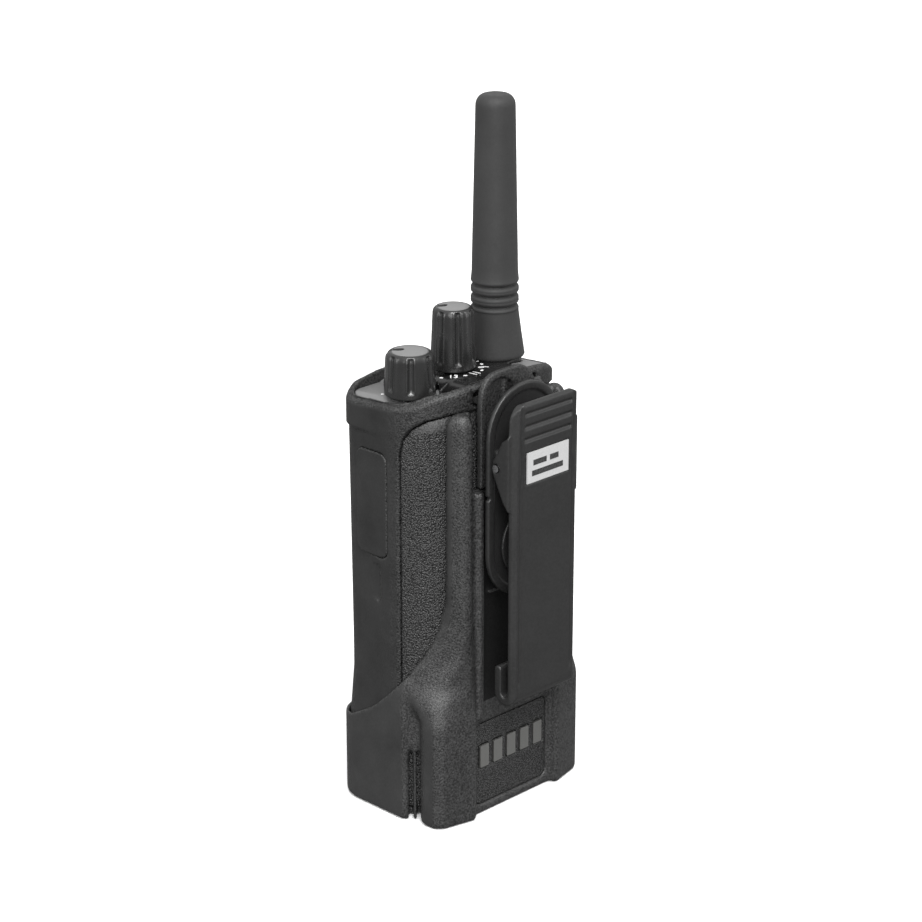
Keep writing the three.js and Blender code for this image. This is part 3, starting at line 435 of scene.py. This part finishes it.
BROW_Z = 107.6                 # lower edge of the cap's proud front corners
BROW_STEP = 0.5                # height over which the setback below it begins
SETBACK = 0.7                  # setback of the front corners just below the brow
SETBACK_GROWTH = 0.5           # what it gains over SETBACK_RUN further down
SETBACK_RUN = 60
CUP_FADE = (22, 16)            # the setback begins at this Z inside the cup, over this height
FRONT_FADE = (-3, 9)           # and at this Y, over this distance towards the front
CORNER_FADE = (12, 12)         # and at this X, over this distance towards the side

# the door's top edge: how far it lies under the door's highest place, at each Y
DOOR_EDGE_Y = [3, 4.5, 7, 10, 13.5, 18]
DOOR_EDGE_DROP = np.array([9.5, 5, 2.4, 1.0, 0.3, 0])
BAND_HEIGHT = 4.6              # the sloped band at the door's top
BAND_SLOPE = 0.055
DOOR_FREE_Y = 3.7              # the door's free edges
DOOR_ROUND = 0.5


def inside_outline(points):
    """Depth of each point inside the body's plan outline, and the outward direction there."""
    x, y = points[:, 0], points[:, 1]
    side = np.sign(x) + (x == 0)
    ax = np.abs(x)
    depth = BACK_X + BACK_R - ax
    out = np.stack([side, np.zeros_like(x)], 1)

    def take(mask, new_depth, ox, oy):
        depth[mask] = new_depth[mask]
        out[mask, 0] = ox[mask]
        out[mask, 1] = oy[mask]

    front = y - (FRONT_Y - FRONT_R)
    take(front < depth, front, np.zeros_like(x), -np.ones_like(x))
    far = np.hypot(ax - FRONT_X, y - FRONT_Y) + 1e-9
    corner = (ax > FRONT_X) & (y < FRONT_Y)
    take(corner, FRONT_R - far, side * (ax - FRONT_X) / far, (y - FRONT_Y) / far)
    far = np.hypot(ax - BACK_X, y - BACK_Y) + 1e-9
    corner = (ax > BACK_X) & (y > BACK_Y)
    take(corner, BACK_R - far, side * (ax - BACK_X) / far, (y - BACK_Y) / far)
    far_crown = np.hypot(x, y - CROWN_Y) + 1e-9
    crown = (y > CROWN_FROM_Y) & (CROWN_R - far_crown < depth) & ~corner
    take(crown, CROWN_R - far_crown, x / far_crown, (y - CROWN_Y) / far_crown)
    return depth, out


def rim_height(points):
    """The rim's height above each point: lower at both ends, and falling towards the front."""
    return np.interp(points[:, 0], RIM_X, RIM_Z) + (points[:, 1] - RIM_Y) * TOP_FALL


def push_in(points, needed):
    """Moves points inwards until each is at least `needed` deep inside the outline."""
    depth, out = inside_outline(points)
    short = np.clip(needed - depth, 0, None) * (depth > -STRAY)
    points[:, 0] -= out[:, 0] * short
    points[:, 1] -= out[:, 1] * short
    return points


def shoulder(below, radius):
    """How far a rounded edge of that radius draws back at a distance below its top."""
    up = np.clip(radius - below, 0, radius)
    return radius - np.sqrt(np.clip(radius ** 2 - up ** 2, 0, None))


def shape_housing(points):
    """Rounds the rim, and sets the front corners back a little below the cap's brow."""
    x, y, z = np.abs(points[:, 0]), points[:, 1], points[:, 2]
    below = np.clip(rim_height(points) - z, 0, None)
    frontness = np.clip((FRONT_FADE[0] - y) / FRONT_FADE[1], 0, 1)
    frontness *= np.clip((x - CORNER_FADE[0]) / CORNER_FADE[1], 0, 1)
    drop = np.clip((BROW_Z - z) / BROW_STEP, 0, 1)
    growth = SETBACK_GROWTH * np.clip((BROW_Z - z) / SETBACK_RUN, 0, 1)
    inset = (SETBACK + growth) * drop * frontness
    inset *= np.clip((z - CUP_FADE[0]) / CUP_FADE[1], 0, 1)
    return push_in(points, shoulder(below, RIM_ROUND) + inset)


def shape_door(points):
    """Slopes the door's top band inwards and keeps its free edges soft."""
    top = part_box("battery_door")[1].z / MM
    y = points[:, 1]
    edge = np.interp(y, DOOR_EDGE_Y, top - DOOR_EDGE_DROP)
    below = np.clip(edge - points[:, 2], 0, None)
    slope = np.clip(BAND_HEIGHT - below, 0, None) ** 2 * BAND_SLOPE
    return push_in(points, slope + shoulder(np.clip(y - DOOR_FREE_Y, 0, None), DOOR_ROUND))


# ---------------------------------------------------------------- radio: knobs and antenna

KNOBS = {
    "volume": {"r": 6.8, "height": 11.7, "cap": 5.0, "pointer": math.radians(-55)},
    "channel": {"r": 6.0, "height": 16.7, "cap": 4.4, "pointer": math.radians(-45)},
}
FLUTES = 7
FLUTE_HALF = 0.90              # half the width of a groove, mm
FLUTE_DEPTH = 0.62
FLUTE_STEPS = 38               # points round each flute
POINTER_START = 1.5            # the pointer slot runs outwards from here, mm
POINTER_HALF = 0.95
POINTER_DEPTH = 0.9
SKIN_BELOW = 0.25              # the knob's skin reaches this far below the CAD knob
CROWN_HEIGHT = 2.2             # the rounded end of a knob, round its cap
BODY_DRAFT = 0.25              # how much thinner the body gets up to there
FLUTE_START = 1.9              # the grooves begin this far above the knob's foot
FLUTE_STOP = 0.75              # and end this far below its top
FLUTE_RUNOUT = 0.9
LIP_HEIGHT = 0.14              # the swelling beside each groove, its distance and its width
LIP_AWAY = 0.24
LIP_WIDTH = 0.22
TAPER = 0.45                   # further thinning from TAPER_START to the top
TAPER_START = 2.0
CAP_DOME = 0.42                # height of the end cap's dome
CAP_EDGE = (0.22, 0.35)        # drop and width of its rounded edge
CAP_COUNT = 240                # points round the end cap, and rings from its rim to its centre
CAP_RINGS = 40


def knob_profile(r, height, cap):
    """Radius and height of each ring of a knob, from its foot to the seat of its end cap."""
    body = height - CROWN_HEIGHT
    profile = [(r - 0.5, 0.0), (r - 0.12, 0.12), (r, 0.45)]
    for t in np.linspace(0, 1, 34):
        profile.append((r - BODY_DRAFT * t, 0.6 + t * (body - 0.6)))
    for a in np.linspace(0, math.pi / 2, 13)[1:]:
        reach = cap + 0.3 + (r - 0.55 - cap) * math.cos(a)
        profile.append((reach, body + (height - 0.3 - body) * math.sin(a)))
    return profile + [
        (cap + 0.05, height - 0.34), (cap + 0.02, height - 1.1), (cap - 0.4, height - 1.75)]


def rounded_run(distance):
    """0 before a groove's end and 1 past its runout, along a quarter circle."""
    t = min(max(distance / FLUTE_RUNOUT, 0), 1)
    return math.sqrt(max(0.0, 1 - (1 - t) ** 2))


def knob_skin(name, r, height, cap, pointer):
    """A knob with seven narrow grooves, one of them in line with the pointer slot."""
    axis = JOINT_AT[name + "_control"] / MM
    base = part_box(name + "_knob")[0].z / MM - SKIN_BELOW
    height = height + SKIN_BELOW
    count = FLUTES * FLUTE_STEPS
    rings = []
    for radius, z in knob_profile(r, height, cap):
        ring = []
        ends = rounded_run(z - FLUTE_START) * rounded_run(height - FLUTE_STOP - z)
        taper = TAPER * max(0.0, z - TAPER_START) / height
        for i in range(count):
            a = pointer + 2 * math.pi * i / count
            across = abs((i / FLUTE_STEPS + 0.5) % 1 - 0.5) * 2 * math.pi * radius / FLUTES
            hollow = FLUTE_DEPTH * ends * max(0.0, 1 - (across / FLUTE_HALF) ** 2) ** 0.7
            past = across - FLUTE_HALF - LIP_AWAY
            lip = LIP_HEIGHT * ends * math.exp(-(past / LIP_WIDTH) ** 2)
            rr = radius - hollow + lip - taper
            off = abs((a - pointer + math.pi) % (2 * math.pi) - math.pi) * radius
            crown = (radius < cap + 1.6) and (z > height - 1.9)
            notch = POINTER_DEPTH * max(0.0, 1 - (off / (POINTER_HALF + 0.1)) ** 4) * crown
            ring.append((axis.x + rr * math.cos(a), rr * math.sin(a), base + z - notch))
        rings.append(ring)
    points, faces = closed_skin(rings)
    return new_piece(name + "_knob_skin", points, faces, name + "_control", "knob", name + "_knob")


def knob_disc(name, cap, pointer):
    """The satin end disc, gently domed, with a dark pointer groove from its rim inwards."""
    axis = JOINT_AT[name + "_control"] / MM
    low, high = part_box(name + "_knob_cap")
    top, bottom = high.z / MM, low.z / MM
    rings = [[(axis.x + cap * 0.93 * math.cos(a), cap * 0.93 * math.sin(a), bottom)
              for a in circle(CAP_COUNT)]]
    start = POINTER_START + POINTER_HALF
    grooved = set()
    for j in range(CAP_RINGS):
        t = 1 - j / CAP_RINGS
        radius = cap * min(1.0, 0.985 * t + 0.015)
        ring = []
        for i in range(CAP_COUNT):
            a = 2 * math.pi * i / CAP_COUNT
            u = radius * math.cos(a - pointer)
            v = radius * math.sin(a - pointer)
            dome = CAP_DOME * (1 - (radius / cap) ** 2)
            edge = CAP_EDGE[0] * max(0.0, 1 - (cap - radius) / CAP_EDGE[1]) ** 2
            reach = math.hypot(max(0.0, start - u), v)
            cut = max(0.0, 1 - (reach / POINTER_HALF) ** 6)
            if cut > 0.02:
                grooved.add(len(rings) * CAP_COUNT + i)
            z = top - CAP_DOME + dome - edge - POINTER_DEPTH * cut
            ring.append((axis.x + radius * math.cos(a), radius * math.sin(a), z))
        rings.append(ring)
    points, faces = closed_skin(rings)
    node = name + "_knob_cap"
    disc = new_piece(name + "_cap_skin", points, faces, name + "_control", "knob_cap", node)
    disc.data.materials.append(LOOKS["pit"].material)
    for polygon in disc.data.polygons:
        if any(v in grooved for v in polygon.vertices):
            polygon.material_index = 1
    return disc


ANTENNA_AWAY = 15.6            # from the channel knob's axis to the antenna's, mm
ANTENNA_COUNT = 96             # points round the antenna
FOOT_R = 7.25                  # the skewed foot: its radius, shift in X, height and taper
FOOT_SHIFT = -1.17
FOOT_HEIGHT = 12.4
FOOT_TAPER = 0.95
FOOT_EDGE = 0.5                # height of the foot's lower edge
SETTLE = 1.5                   # height over which the foot follows the sloping top
GROOVED_Z = (134.4, 142.6)     # the grooved stretch and its three ring grooves
RING_GROOVES = (135.5, 138.4, 141.1)
GROOVE_DEPTH = 0.75
GROOVE_WIDTH = 0.42
WHIP_Z = 142.8                 # the long taper starts here
WHIP_R = 6.2
WHIP_TAPER = 0.95
TIP_HEIGHT = 3.2               # the domed tip


def antenna_profile(base, top):
    """Radius, height and shift in X of each ring of the antenna, from the foot to the tip."""
    profile = [(6.2, base, -1.2), (7.0, base + 0.05, -1.2), (FOOT_R, base + FOOT_EDGE, FOOT_SHIFT)]
    for i in range(1, 25):
        t = i / 24
        z = base + FOOT_EDGE + t * FOOT_HEIGHT
        profile.append((FOOT_R - FOOT_TAPER * t ** 0.8, z, FOOT_SHIFT * (1 - t)))
    for z in np.linspace(*GROOVED_Z, 84):
        away = min(abs(z - groove) for groove in RING_GROOVES)
        dip = GROOVE_DEPTH * math.exp(-(away / GROOVE_WIDTH) ** 2)
        swell = 0.12 * math.exp(-((away - 1.1) / 0.5) ** 2)
        profile.append((6.28 - dip + swell, z, 0))
    tip = top - TIP_HEIGHT
    for i in range(1, 29):
        t = i / 28
        profile.append((WHIP_R - WHIP_TAPER * t, WHIP_Z + t * (tip - WHIP_Z), 0))
    for i in range(1, 13):
        a = i / 12 * math.pi / 2 * 0.97
        radius = 2.6 + 2.65 * math.cos(a) if a < 1.5 else 2.7
        profile.append((radius, tip + TIP_HEIGHT * math.sin(a) ** 0.9, 0))
    for r in (2.0, 1.0, 0.3):
        profile.append((r, top - 0.01, 0))
    return profile


def antenna_skin():
    """The rubber whip: domed tip, long taper, three ring grooves and a skewed conical foot."""
    low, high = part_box("antenna_sheath")
    base = low.z / MM
    x0 = JOINT_AT["channel_control"].x / MM - ANTENNA_AWAY
    rings = []
    for r, z, shift in antenna_profile(base, high.z / MM):
        settle = max(0.0, 1 - (z - base) / SETTLE)
        rings.append([(x0 + shift + r * math.cos(a), r * math.sin(a),
                       z + settle * ((r * math.sin(a) - 7) * TOP_FALL - 0.35))
                      for a in circle(ANTENNA_COUNT)])
    points, faces = closed_skin(rings)
    body = BODY_OF["antenna_sheath"]
    return new_piece("antenna_skin", points, faces, body, "antenna_rubber", "antenna_sheath")


# ---------------------------------------------------------------- dial numbers and label print

NUMBER_STRETCH = 1.5           # numbers are drawn this much taller than their font
NUMBER_SIZE = 2.7
NUMBER_RELIEF = 0.03           # how far a number and its outline stand out
NUMBER_RING = 8.1              # radius of the channel marks
NUMBER_STEP = 22.5             # degrees between channels
LAST_CHANNEL = 16
ODD_CHANNEL_AT = (13, 45)      # this channel stands at this many degrees
HIDDEN_BELOW_X = -5.6          # no marks are made further to the antenna's side than this
CHANNEL_DOT = (0.42, 1.3)      # radius and stretch of the dots for the even channels
VOLUME_RING = 8.0              # radius of the volume marks, and their places in degrees
VOLUME_DOTS = 6
VOLUME_FROM, VOLUME_STEP = -150, 16
BAR_HALF = 0.75                # half the height of a bar on the label


def surface_z(skin, x, y):
    """Height in mm of a skin's upper surface at a place in the radio's own mm."""
    start = Vector((x * MM, y * MM + ROW_Y, 0.2))
    hit, place, _, _ = skin.ray_cast(start, Vector((0, 0, -1)))
    return place.z / MM if hit else CAD_HIGH.z / MM


def written(text, size_mm, at_mm, turn, body, name):
    """A raised number lying on the dial, drawn tall so that it reads at a low angle."""
    curve = bpy.data.curves.new(name + "_outline", "FONT")
    curve.body = text
    curve.size = size_mm * MM
    curve.align_x = "CENTER"
    curve.align_y = "CENTER"
    curve.extrude = NUMBER_RELIEF * MM
    curve.offset = NUMBER_RELIEF * MM
    outline = bpy.data.objects.new(name + "_outline", curve)
    bpy.context.collection.objects.link(outline)
    bpy.context.view_layer.update()
    ready = outline.evaluated_get(bpy.context.evaluated_depsgraph_get())
    mesh = bpy.data.meshes.new_from_object(ready)
    bpy.data.objects.remove(outline)
    lie = Matrix.Rotation(math.radians(TOP_TILT), 4, "X") @ Matrix.Rotation(turn, 4, "Z")
    place = Matrix.Translation((at_mm[0] * MM, at_mm[1] * MM + ROW_Y, at_mm[2] * MM))
    mesh.transform(place @ lie @ Matrix.Diagonal((1, NUMBER_STRETCH, 1, 1)))
    mesh.name = name
    piece = bpy.data.objects.new(name, mesh)
    bpy.context.collection.objects.link(piece)
    dress(piece, "paint_white")
    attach(piece, body)
    return piece


def dot(name, radius, at_mm, body, stretch=1.0, turn=0.0):
    """A raised round or oval dot lying on the top."""
    rings = []
    for scale, z in ((1.0, -0.1), (1.0, 0.04), (0.7, 0.06)):
        ring = []
        for a in circle(20):
            u, v = radius * stretch * scale * math.cos(a), radius * scale * math.sin(a)
            x = at_mm[0] + u * math.cos(turn) - v * math.sin(turn)
            y = at_mm[1] + u * math.sin(turn) + v * math.cos(turn)
            rise = (y - at_mm[1]) * TOP_FALL
            ring.append((x, y, at_mm[2] + z + rise))
        rings.append(ring)
    points, faces = closed_skin(rings)
    piece = new_piece(name, points, faces, body, "paint_white")
    return piece


def dial_marks(skin):
    """Odd channel numbers and dots for the even ones, round the channel knob."""
    axis = JOINT_AT["channel_control"] / MM
    body = BODY_OF["dial_plate"]
    known, known_angle = ODD_CHANNEL_AT
    for channel in range(1, LAST_CHANNEL + 1):
        angle = math.radians(known_angle + (known - channel) * NUMBER_STEP)
        turn = angle + math.pi / 2
        x, y = axis.x + NUMBER_RING * math.cos(angle), NUMBER_RING * math.sin(angle)
        if x < HIDDEN_BELOW_X:
            continue
        at = (x, y, surface_z(skin, x, y) + NUMBER_RELIEF)
        if channel % 2:
            written(str(channel), NUMBER_SIZE, at, turn, body, f"dial_number_{channel}")
        else:
            radius, stretch = CHANNEL_DOT
            dot(f"dial_dot_{channel}", radius, at, body, stretch, turn)


def volume_marks(skin):
    """Growing dots beside the volume knob on the grey panel."""
    axis = JOINT_AT["volume_control"] / MM
    for i in range(VOLUME_DOTS):
        angle = math.radians(VOLUME_FROM + i * VOLUME_STEP)
        x, y = axis.x + VOLUME_RING * math.cos(angle), VOLUME_RING * math.sin(angle)
        at = (x, y, surface_z(skin, x, y))
        dot(f"volume_dot_{i}", 0.2 + 0.05 * i, at, BODY_OF["top_panel"])


def label_print():
    """Generic bars in place of the label's text."""
    low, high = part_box("clip_label")
    face = high.y / MM - ROW_Y / MM
    rows = [(0.64, [(-0.72, -0.08), (0.08, 0.5)]), (0.30, [(-0.78, 0.72)])]
    half, bottom, height = high.x / MM, low.z / MM, (high.z - low.z) / MM
    for row, (level, spans) in enumerate(rows):
        for k, (a, b) in enumerate(spans):
            middle = bottom + height * level
            points = [(x, y, z)
                      for y in (face - 0.05, face + 0.04)
                      for z in (middle - BAR_HALF, middle + BAR_HALF)
                      for x in (-b * half, -a * half)]
            name = f"label_bar_{row}_{k}"
            bar = new_piece(name, points, BOX_FACES, BODY_OF["clip_label"], "ink")
            bar.data.shade_flat()


# ---------------------------------------------------------------- small reshapings

APRON_X = 9.6                  # the dial apron's flank starts at this X, mm
APRON_Y = 1.5                  # and only behind this Y
APRON_STRETCH = 1.7
APRON_FALL = 0.16
APRON_GAP = (19.8, 7.5)        # the volume knob's axis and the radius kept free round it
NOTCH_BELOW = 2.8              # the side cover's nail notch: its depth under the cover's top
NOTCH_HALF = (1.3, 3.2)        # and half its height and length
NOTCH_FACE = 0.9
SHOULDER_Z = ([29, 33, 50, 56], [0, 1, 1, 0])
SHOULDER_X = ([13.5, 15.5], [0, 1])
SHOULDER_OUT = ([18.2, 19.2], [0, 1])
SHOULDER_FROM_Y = 6
RECESS_Y, RECESS_X = 18.9, 13.9                # the channel behind the lever, where shade is painted
RECESS_Z = (33, 93.5)
RECESS_FACING = 0.3
LEVER_FACE = ([40, 96, 107, 118], [30.3, 30.3, 30.5, 30.8])    # Y of its outer face at each Z
LEVER_BORDER = ([96, 101, 110], [9.9, 9.3, 9.9])               # X of the line at each Z
LEVER_LINE_Z = 40
LINE_DEPTH, LINE_WIDTH = 0.4, 0.42


def shape_dial(points):
    """Lets the dial's apron slope down towards the volume knob."""
    x, y, z = points[:, 0], points[:, 1], points[:, 2]
    past = np.clip(x - APRON_X, 0, None) * (y > APRON_Y)
    knob_x, free = APRON_GAP
    limit = knob_x - np.sqrt(np.clip(free ** 2 - y ** 2, 0, None))
    reach = np.minimum(np.maximum(x, x + APRON_STRETCH * past), np.maximum(limit, x))
    points[:, 2] = z - APRON_FALL * np.clip(reach - APRON_X - 0.6, 0, None) ** 2
    points[:, 0] = reach
    return points


def shape_cover(points):
    """Widens the side cover to close its gap, and fills its nail notch."""
    points = grow_about_middle(0.2)(points)
    face = points[:, 0].max()
    outer = points[:, 0] > face - NOTCH_FACE
    top = points[:, 2].max()
    middle = (points[:, 1].max() + points[:, 1].min()) / 2
    in_notch = np.abs(points[:, 2] - top + NOTCH_BELOW) < NOTCH_HALF[0]
    in_notch &= np.abs(points[:, 1] - middle) < NOTCH_HALF[1]
    points[outer & in_notch, 0] = face
    return points


def relax(mesh, weight, rounds):
    """Smooths a mesh only where weight(points in the radio's own mm) is above zero."""
    points = coordinates(mesh)
    own = points / MM
    own[:, 1] -= ROW_Y / MM
    share = 0.5 * weight(own)[:, None]
    ends = np.empty(len(mesh.edges) * 2, dtype=np.int64)
    mesh.edges.foreach_get("vertices", ends)
    first, second = ends[0::2], ends[1::2]
    count = len(points)
    degree = np.bincount(first, minlength=count) + np.bincount(second, minlength=count)
    degree = degree[:, None]
    for _ in range(rounds):
        total = np.empty_like(points)
        for axis in range(3):
            total[:, axis] = np.bincount(first, points[second, axis], count)
            total[:, axis] += np.bincount(second, points[first, axis], count)
        points += share * (total / degree - points)
    mesh.vertices.foreach_set("co", points.ravel())
    mesh.update()


def shoulder_weight(points):
    """The legs' shoulders, where the flare narrows into the arm."""
    height = np.interp(points[:, 2], *SHOULDER_Z)
    inwards = np.interp(np.abs(points[:, 0]), *SHOULDER_X)
    x, y = np.abs(points[:, 0]) - BACK_X, points[:, 1] - BACK_Y
    outwards = np.interp(np.hypot(x, y), *SHOULDER_OUT)
    return height * inwards * outwards * (y > SHOULDER_FROM_Y)


def darken_recess(holster):
    """Painted shade: the deep channel behind the lever gets a darker, duller material."""
    holster.data.materials.append(LOOKS["recess"].material)
    for polygon in holster.data.polygons:
        x, y, z = polygon.center / MM
        deep = y - ROW_Y / MM < RECESS_Y and abs(x) < RECESS_X
        level = RECESS_Z[0] < z < RECESS_Z[1]
        if deep and level and polygon.normal.y > RECESS_FACING:
            polygon.material_index = 1


def shape_lever(points):
    """Sinks a fine line inside each long edge of the lever's outer face, beside the border."""
    x, y, z = np.abs(points[:, 0]), points[:, 1], points[:, 2]
    outer = np.interp(z, *LEVER_FACE)
    near = np.clip(1.6 - (outer - y), 0, 1) * np.clip((z - LEVER_LINE_Z) / 2, 0, 1)
    border = np.interp(z, *LEVER_BORDER)
    points[:, 1] -= near * LINE_DEPTH * np.exp(-((x - border) / LINE_WIDTH) ** 2)
    return points


def grow_about_middle(amount_mm):
    """Widens a thin plate by that much on every side, in the two directions of its face."""
    def shape(points):
        low, high = points.min(0), points.max(0)
        size = high - low
        thin = int(np.argmin(size))
        middle = (low + high) / 2
        for axis in range(3):
            if axis != thin:
                wider = 1 + 2 * amount_mm / size[axis]
                points[:, axis] = middle[axis] + (points[:, axis] - middle[axis]) * wider
        return points
    return shape


# ---------------------------------------------------------------- assembling the looks

LINER_X = (25.5, 26.1)         # the strips behind the door's parting line, mm
LINER_Y = (2.2, 5.2)
LINER_Z = (8.0, 100.0)

# each node's voxel size in mm, its rounds of smoothing and its reshaping
RESURFACED = {
    "front_housing": (0.45, 3, shape_housing),
    "battery_door": (0.45, 3, shape_door),
    "top_panel": (0.3, 2, None),
    "dial_plate": (0.25, 3, shape_dial),
    "holster_frame": (0.45, 12, None),
    "release_tab": (0.3, 4, None),
    "swivel_plate": (0.3, 3, None),
    "swivel_rivet": (0.3, 4, None),
    "clip_lever": (0.26, 3, shape_lever),
    "accessory_cover": (0.25, 3, shape_cover),
    "ptt_button": (0.25, 4, None),
    "side_button_1": (0.2, 4, None),
    "side_button_2": (0.2, 4, None),
    "contact_block": (0.3, 2, grow_about_middle(0.25)),
}

SKINS = {}
for node_name, settings in RESURFACED.items():
    SKINS[node_name] = resurface(node_name, *settings)

relax(SKINS["holster_frame"].data, shoulder_weight, 40)
# painted shade in the channel behind the lever
darken_recess(SKINS["holster_frame"])

for knob_name, knob in KNOBS.items():
    knob_skin(knob_name, **knob)
    knob_disc(knob_name, knob["cap"], knob["pointer"])
antenna_skin()
dial_marks(SKINS["dial_plate"])
volume_marks(SKINS["top_panel"])
label_print()


def seam_liners():
    """A dark strip behind the door's parting line on each side, so no light shows through."""
    inner, outer = LINER_X
    for side, ends in (("volume", (inner, outer)), ("talk", (-outer, -inner))):
        points = [(x, y, z) for y in LINER_Y for z in LINER_Z for x in ends]
        name = f"seam_liner_{side}"
        strip = new_piece(name, points, BOX_FACES, BODY_OF["front_housing"], "pit")
        strip.data.shade_flat()


seam_liners()


def round_edges(node, width_mm):
    """A small bevel on a CAD node that is shown as it is."""
    bevel = NODES[node].modifiers.new("edge", "BEVEL")
    bevel.width = width_mm * MM
    bevel.segments = 2
    bevel.limit_method = "ANGLE"
    bevel.harden_normals = False


STOOD_FOR = set(RESURFACED) | {
    "volume_knob", "channel_knob", "volume_knob_cap", "channel_knob_cap", "antenna_sheath"}
for node_name, node_object in NODES.items():
    if node_name not in STOOD_FOR:
        dress(node_object, SLOT_OF[node_name])
for node_name in ("volume_shaft", "channel_shaft", "antenna_socket"):
    dress(NODES[node_name], "pit")
for i in range(1, 6):
    round_edges(f"charging_contact_{i}", 0.15)
round_edges("clip_label", 0.06)

# ---------------------------------------------------------------- studio

FLOOR_SIZE = 12.0
FLOOR_DROP = 0.0002            # the floor lies this far below the radio's base
AIM = (0, 0, 0.09)             # the strips of light face this place
SKY_BELOW = 0.26
SKY_HORIZON = 0.42
SKY_TOP = 1.0
SKY_STOPS = (0.30, 0.52, 0.95)

# direction, strength and spread in degrees
SUNS = {
    "overhead": ((-0.35, -0.45, -0.82), 3.0, 30),
    "front": ((-0.66, -0.62, -0.30), 1.7, 50),
}
# place, size and power
STRIPS = {
    "strip_right": ((-0.55, 0.75, 0.35), (0.12, 0.9), 1.6),
    "strip_left": ((0.85, -0.30, 0.40), (0.10, 0.8), 1.2),
}


def make_floor():
    mesh = bpy.data.meshes.new("floor")
    s = FLOOR_SIZE / 2
    mesh.from_pydata([(-s, -s, 0), (s, -s, 0), (s, s, 0), (-s, s, 0)], [], [(0, 1, 2, 3)])
    floor = bpy.data.objects.new("floor", mesh)
    bpy.context.collection.objects.link(floor)
    look = Look("floor", grey(0.95), 0.6, specular=0.2)
    floor.data.materials.append(look.material)
    floor.location.z = -FLOOR_DROP
    floor.visible_diffuse = False
    floor.visible_glossy = False


def softbox(name, place, size, power):
    """A rectangular lamp at a place, facing the radio."""
    data = bpy.data.lights.new(name, "AREA")
    data.shape = "RECTANGLE"
    data.size, data.size_y = size
    data.energy = power
    lamp = bpy.data.objects.new(name, data)
    bpy.context.collection.objects.link(lamp)
    lamp.location = place
    lamp.rotation_mode = "QUATERNION"
    lamp.rotation_quaternion = (Vector(AIM) - Vector(place)).to_track_quat("-Z", "Y")


def sun(name, direction, strength, spread):
    """An even, soft light shining along a direction."""
    data = bpy.data.lights.new(name, "SUN")
    data.energy = strength
    data.angle = math.radians(spread)
    lamp = bpy.data.objects.new(name, data)
    bpy.context.collection.objects.link(lamp)
    lamp.location = (0, 0, 2)
    lamp.rotation_mode = "QUATERNION"
    lamp.rotation_quaternion = Vector(direction).to_track_quat("-Z", "Y")


def make_world():
    """White overhead light that falls off towards the horizon, and little from below."""
    world = bpy.data.worlds.new("world")
    bpy.context.scene.world = world
    world.use_nodes = True
    tree = world.node_tree
    place = tree.nodes.new("ShaderNodeTexCoord")
    split = tree.nodes.new("ShaderNodeSeparateXYZ")
    tree.links.new(place.outputs["Generated"], split.inputs[0])
    ramp = tree.nodes.new("ShaderNodeValToRGB")
    shift = tree.nodes.new("ShaderNodeMapRange")
    shift.inputs["From Min"].default_value = -1
    tree.links.new(split.outputs["Z"], shift.inputs["Value"])
    tree.links.new(shift.outputs["Result"], ramp.inputs["Fac"])
    stops = ramp.color_ramp.elements
    stops[0].position, stops[0].color = SKY_STOPS[0], (*grey(SKY_BELOW), 1)
    stops[1].position, stops[1].color = SKY_STOPS[2], (*grey(SKY_TOP), 1)
    horizon = stops.new(SKY_STOPS[1])
    horizon.color = (*grey(SKY_HORIZON), 1)
    tree.links.new(ramp.outputs["Color"], tree.nodes["Background"].inputs["Color"])
    tree.nodes["Background"].inputs["Strength"].default_value = 1.0


def make_studio():
    make_floor()
    make_world()
    for name, settings in SUNS.items():
        sun(name, *settings)
    for name, settings in STRIPS.items():
        softbox(name, *settings)
    bpy.context.scene.view_settings.view_transform = "Standard"


make_studio()
